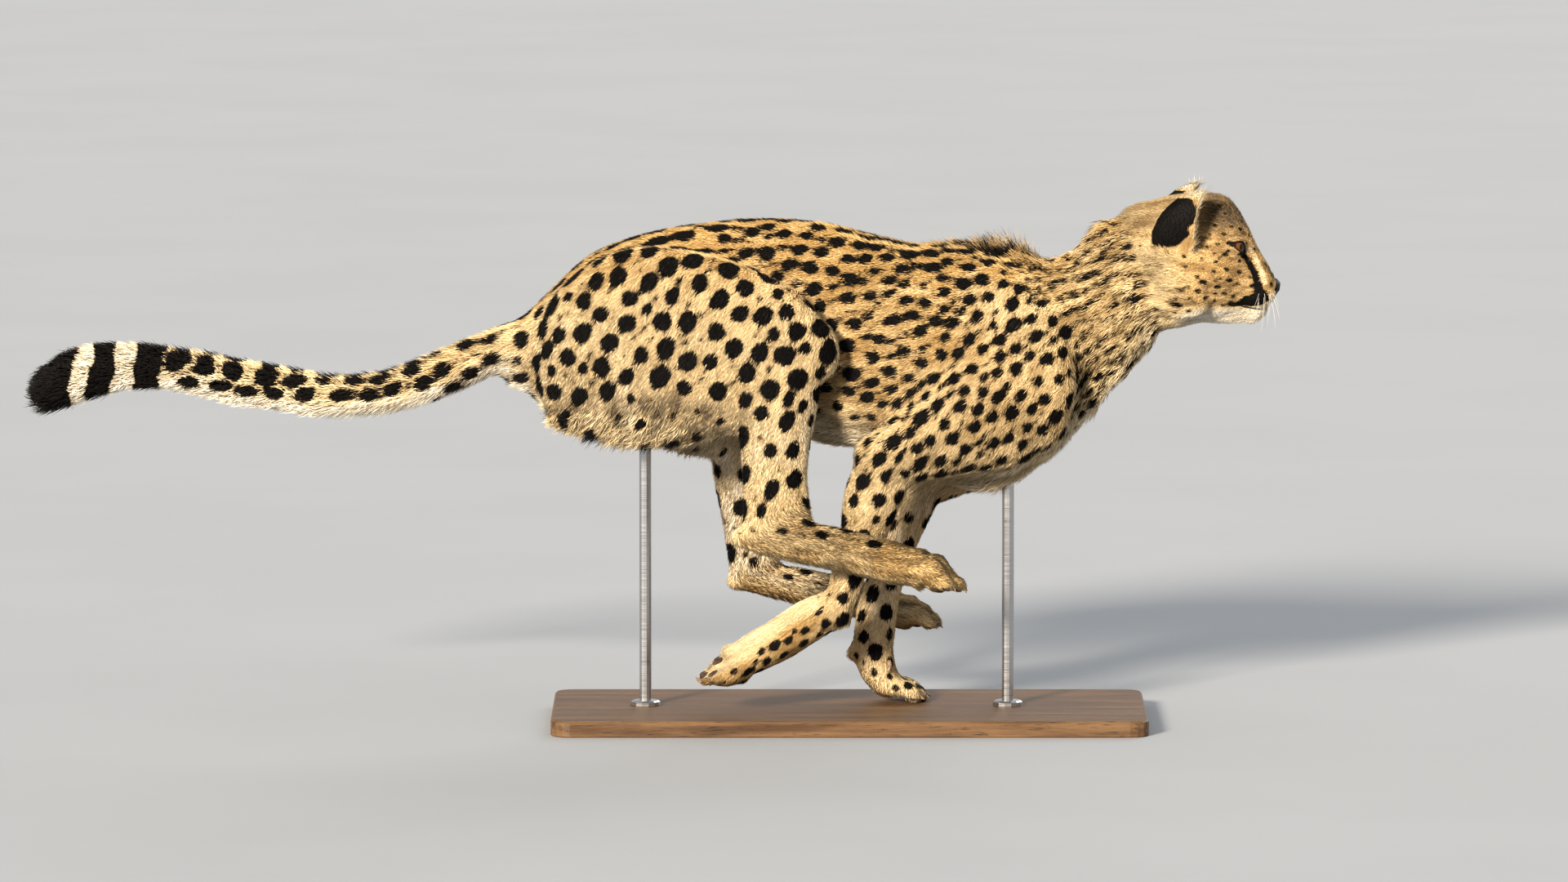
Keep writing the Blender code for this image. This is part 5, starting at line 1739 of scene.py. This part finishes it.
def whisker_tree():
    """Turns guide lines into tapering hairs."""
    tree, start, end = node_group(
        "whiskers",
        "GeometryNodeTree",
        [
            ("Guides", "INPUT", "Geometry"),
            ("Radius", "INPUT", "Float"),
            ("Material", "INPUT", "Material"),
            ("Hairs", "OUTPUT", "Geometry"),
        ],
    )
    kinds = ("MeshToCurve", "SetCurveRadius", "CurveToMesh", "CurvePrimitiveCircle", "SplineParameter")
    to_curve, radius, to_mesh, profile, along = (tree.nodes.new("GeometryNode" + kind) for kind in kinds)
    taper, times = tree.nodes.new("ShaderNodeMapRange"), tree.nodes.new("ShaderNodeMath")
    realize, paint = (tree.nodes.new("GeometryNode" + kind) for kind in ("RealizeInstances", "SetMaterial"))
    times.operation = "MULTIPLY"
    profile.inputs["Resolution"].default_value = 5
    profile.inputs["Radius"].default_value = 1.0
    taper.inputs["To Min"].default_value = 1.0
    taper.inputs["To Max"].default_value = 0.15
    to_mesh.inputs["Fill Caps"].default_value = True
    link = tree.links.new
    link(start.outputs["Guides"], to_curve.inputs["Mesh"])
    link(along.outputs["Factor"], taper.inputs["Value"])
    link(taper.outputs["Result"], times.inputs[0])
    link(start.outputs["Radius"], times.inputs[1])
    link(to_curve.outputs["Curve"], radius.inputs["Curve"])
    link(times.outputs[0], radius.inputs["Radius"])
    link(radius.outputs["Curve"], to_mesh.inputs["Curve"])
    link(profile.outputs["Curve"], to_mesh.inputs["Profile Curve"])
    link(times.outputs[0], to_mesh.inputs["Scale"])
    link(to_mesh.outputs["Mesh"], realize.inputs["Geometry"])
    link(realize.outputs["Geometry"], paint.inputs["Geometry"])
    link(start.outputs["Material"], paint.inputs["Material"])
    link(paint.outputs["Geometry"], end.inputs["Hairs"])
    return tree


WHISKER_RUNS = 7


def whisker_guides(skin, longest, rng):
    """Lines that leave the whisker pads and droop backward."""
    tree = search_tree(point_array(skin.data), skin.data)
    points, edges = [], []
    for side in (1, -1):
        for row in range(3):
            for dot in range(4):
                seed = NOSE_TIP + (-15 - dot * 5.5, 19 + dot * 2.3, -8 - row * 4.5)
                near, normal, _, _ = tree.find_nearest(Vector(seed * (1, side, 1) * MM))
                out = unit(np.array(normal) * 0.8 + (-0.25, 0.35 * side, -0.55 - 0.15 * row))
                length = longest * rng.uniform(0.55, 1.0)
                start = len(points)
                for step in np.linspace(0, 1, WHISKER_RUNS + 1):
                    fall = np.array([-0.12, 0, -0.22]) * step * step * length
                    points.append(np.array(near) + out * length * step + fall - out * 0.001)
                edges.extend((start + i, start + i + 1) for i in range(WHISKER_RUNS))
    return points, edges


def build_whiskers(skin, head, material):
    """Tapering hairs along the guides, as plain mesh."""
    rng = np.random.default_rng(5)
    points, edges = whisker_guides(skin, head.whisker_length, rng)
    mesh = bpy.data.meshes.new("whiskers")
    mesh.from_pydata(points, edges, [])
    whiskers = place("whiskers", mesh)
    tree = whisker_tree()
    grow = whiskers.modifiers.new("grow", "NODES")
    grow.node_group = tree
    names = {item.name: item.identifier for item in tree.interface.items_tree if item.in_out == "INPUT"}
    grow[names["Radius"]] = head.whisker_radius
    grow[names["Material"]] = material
    applied(whiskers)
    whiskers.data.shade_smooth()
    return whiskers


def whisker_material():
    """Off-white hair, slightly uneven."""
    material, tree, shader = new_material("whisker", roughness=0.35, specular=0.5)
    fine = noise_node(tree, object_coordinates(tree), 500.0)
    two_toned(tree, shader, fine, (0.86, 0.82, 0.74), (0.7, 0.64, 0.55))
    return material


# ---------------------------------------------------------------- stand and stage


# Half the floor's side, what the camera looks at and what the lights point at, in metres.
FAR = 90
VIEW_CENTRE = Vector((-0.088, 0, 0.3806))
LIT_CENTRE = Vector((0, 0, 0.45))


def wood_material():
    """Oiled dark oak with long grain along the board."""
    material, tree, shader = new_material("oiled oak", roughness=0.45, specular=0.4)
    along = stretched(tree, (1.6, 22.0, 22.0))
    grain = noise_node(tree, along, 3.0, 8.0, 0.65)
    pores = noise_node(tree, along, 26.0, 3.0, 0.6)
    colour = mixed(tree, ranged(tree, grain, 0.32, 0.68), (0.085, 0.045, 0.022), (0.2, 0.115, 0.055))
    dark = mixed(tree, ranged(tree, pores, 0.58, 0.7), colour, (0.03, 0.016, 0.009))
    tree.links.new(dark, shader.inputs["Base Color"])
    tree.links.new(ranged(tree, grain, 0.2, 0.8, 0.38, 0.55), shader.inputs["Roughness"])
    bumped(tree, shader, pores, 0.0006, 0.4)
    return material


def steel_material():
    """Brushed steel with fine lines round the rod."""
    material, tree, shader = new_material("brushed steel", roughness=0.32, specular=0.5)
    shader.inputs["Metallic"].default_value = 1.0
    lines = noise_node(tree, stretched(tree, (3.0, 3.0, 260.0)), 4.0, 5.0)
    tree.links.new(mixed(tree, lines, (0.42, 0.42, 0.43), (0.56, 0.56, 0.57)), shader.inputs["Base Color"])
    tree.links.new(ranged(tree, lines, 0.3, 0.7, 0.26, 0.42), shader.inputs["Roughness"])
    bumped(tree, shader, lines, 0.0001, 0.4)
    return material


def floor_material(paint):
    """Plain paint, slightly uneven."""
    material, tree, shader = new_material("floor", roughness=0.8, specular=0.2)
    soft = noise_node(tree, object_coordinates(tree), 1.5)
    two_toned(tree, shader, soft, paint, [c * 0.97 for c in paint])
    return material


def aimed(obj, target):
    obj.rotation_euler = (Vector(target) - obj.location).to_track_quat("-Z", "Y").to_euler()


def add_light(name, location, softness, strength, tint):
    """A far lamp that lights object and floor evenly. Its softness is an angle."""
    data = bpy.data.lights.new(name, "SUN")
    data.angle = softness
    data.energy = strength
    data.color = tint
    light = bpy.data.objects.new(name, data)
    bpy.context.scene.collection.objects.link(light)
    light.location = location
    aimed(light, LIT_CENTRE)


# ---------------------------------------------------------------- operators


class CHEETAH_OT_skin(bpy.types.Operator):
    """Builds the one skin over all the flesh and marks it"""

    bl_idname = "cheetah.skin"
    bl_label = "Skin"

    def execute(self, context):
        settings, head = context.scene.cheetah_coat, context.scene.cheetah_head
        skin = build_skin(head)
        mark_skin(skin, settings, head)
        guide = place("coat_guide", skin.data.copy())
        guide.hide_render = True
        thinned(skin)
        skin.data.materials.clear()
        skin.data.materials.append(skin_material(settings))
        skin.data.shade_smooth()
        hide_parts(*FLESH)
        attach(skin, "root")
        return {"FINISHED"}


class CHEETAH_OT_coat(bpy.types.Operator):
    """Grows the tufts of the coat from the skin"""

    bl_idname = "cheetah.coat"
    bl_label = "Coat"

    def execute(self, context):
        settings = context.scene.cheetah_coat
        guide = bpy.data.objects["coat_guide"]
        mesh = guide.data
        values = {"co": point_array(mesh), "normal": normal_array(mesh)}
        values.update((key, get_attribute(mesh, key)) for key in SKIN_VALUES)
        rng = np.random.default_rng(settings.seed)
        noise.seed_set(settings.seed)
        share = settings.tuft_room * 1.0
        samples = surface_samples(mesh, values["room"] * MM * share, rng)
        material = hair_material(settings)
        tree = point_tree(values["co"])
        for name in COAT_PIECES:
            piece = build_coat_piece(name, settings, values, tree, samples, material)
            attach(piece, "root")
        bpy.data.objects.remove(guide)
        return {"FINISHED"}


class CHEETAH_OT_eyes(bpy.types.Operator):
    """Makes both eyes"""

    bl_idname = "cheetah.eyes"
    bl_label = "Eyes"

    def execute(self, context):
        material = eye_material(context.scene.cheetah_head)
        for side, node in ((1, "eye_left"), (-1, "eye_right")):
            eye = build_eye(side, node + "_ball")
            eye.data.materials.append(material)
            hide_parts(node)
            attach(eye, "root")
        return {"FINISHED"}


class CHEETAH_OT_feet(bpy.types.Operator):
    """Makes the pads and the claws"""

    bl_idname = "cheetah.feet"
    bl_label = "Pads and claws"

    def execute(self, context):
        pads = build_pads(bpy.data.objects["skin"])
        pads.data.materials.append(leather_material())
        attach(pads, "root")
        claws = build_claws()
        claws.data.materials.clear()
        claws.data.materials.append(claw_material())
        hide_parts(*CLAWS)
        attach(claws, "root")
        return {"FINISHED"}


class CHEETAH_OT_whiskers(bpy.types.Operator):
    """Grows the whiskers"""

    bl_idname = "cheetah.whiskers"
    bl_label = "Whiskers"

    def execute(self, context):
        whiskers = build_whiskers(bpy.data.objects["skin"], context.scene.cheetah_head, whisker_material())
        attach(whiskers, "root")
        return {"FINISHED"}


class CHEETAH_OT_stand(bpy.types.Operator):
    """Finishes the board and the rods"""

    bl_idname = "cheetah.stand"
    bl_label = "Stand"

    def execute(self, context):
        wood, steel = wood_material(), steel_material()
        for name, material in (("stand_base", wood), ("stand_rod_front", steel), ("stand_rod_rear", steel)):
            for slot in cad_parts[name].material_slots:
                slot.material = material
        return {"FINISHED"}


class CHEETAH_OT_stage(bpy.types.Operator):
    """Sets up floor, lights and camera"""

    bl_idname = "cheetah.stage"
    bl_label = "Stage"

    def execute(self, context):
        stage = context.scene.cheetah_stage
        plane = bpy.data.meshes.new("floor")
        corners = [(-FAR, -FAR, 0), (FAR, -FAR, 0), (FAR, FAR, 0), (-FAR, FAR, 0)]
        plane.from_pydata(corners, [], [(0, 1, 2, 3)])
        floor = place("floor", plane)
        floor.data.materials.append(floor_material(stage.floor))
        camera_data = bpy.data.cameras.new("camera")
        camera = bpy.data.objects.new("camera", camera_data)
        context.scene.collection.objects.link(camera)
        away = Vector((0, -math.cos(stage.elevation), math.sin(stage.elevation)))
        camera.location = VIEW_CENTRE + away * stage.distance
        aimed(camera, VIEW_CENTRE)
        camera_data.lens = camera_data.sensor_width * stage.distance / stage.frame_width
        camera_data.clip_end = 200
        context.scene.camera = camera
        add_light("key", (-3.2, -5.8, 2.9), math.radians(10), 5.5, (1.0, 0.89, 0.74))
        add_light("back", (2.5, 5.0, 3.6), math.radians(30), 0.7, (0.9, 0.95, 1.0))
        world = bpy.data.worlds.new("studio")
        world.use_nodes = True
        background = world.node_tree.nodes["Background"]
        background.inputs["Color"].default_value = (0.93, 0.92, 0.9, 1)
        background.inputs["Strength"].default_value = 0.58
        context.scene.world = world
        context.scene.view_settings.view_transform = "Standard"
        context.scene.view_settings.look = "Medium High Contrast"
        return {"FINISHED"}


OPERATORS = (
    CHEETAH_OT_stage,
    CHEETAH_OT_skin,
    CHEETAH_OT_coat,
    CHEETAH_OT_eyes,
    CHEETAH_OT_feet,
    CHEETAH_OT_whiskers,
    CHEETAH_OT_stand,
)


class CHEETAH_PT_panel(bpy.types.Panel):
    """Lists the pieces and their sizes"""

    bl_idname = "CHEETAH_PT_panel"
    bl_label = "Running cheetah"
    bl_space_type = "VIEW_3D"
    bl_region_type = "UI"
    bl_category = "Cheetah"

    def draw(self, context):
        for group in ("cheetah_coat", "cheetah_head", "cheetah_stage"):
            box = self.layout.box()
            settings = getattr(context.scene, group)
            for key in type(settings).__annotations__:
                box.prop(settings, key)
        for operator in OPERATORS:
            self.layout.operator(operator.bl_idname)


GROUPS = {"cheetah_coat": CheetahCoat, "cheetah_head": CheetahHead, "cheetah_stage": CheetahStage}


def register():
    for group in GROUPS.values():
        bpy.utils.register_class(group)
    for name, group in GROUPS.items():
        setattr(bpy.types.Scene, name, bpy.props.PointerProperty(type=group))
    for item in (*OPERATORS, CHEETAH_PT_panel):
        bpy.utils.register_class(item)


def unregister():
    for item in (*OPERATORS, CHEETAH_PT_panel):
        bpy.utils.unregister_class(item)
    for name, group in GROUPS.items():
        delattr(bpy.types.Scene, name)
        bpy.utils.unregister_class(group)


def main():
    register()
    bpy.ops.cheetah.stage()
    bpy.ops.cheetah.skin()
    bpy.ops.cheetah.coat()
    bpy.ops.cheetah.eyes()
    bpy.ops.cheetah.feet()
    bpy.ops.cheetah.whiskers()
    bpy.ops.cheetah.stand()


if __name__ == "__main__":
    main()
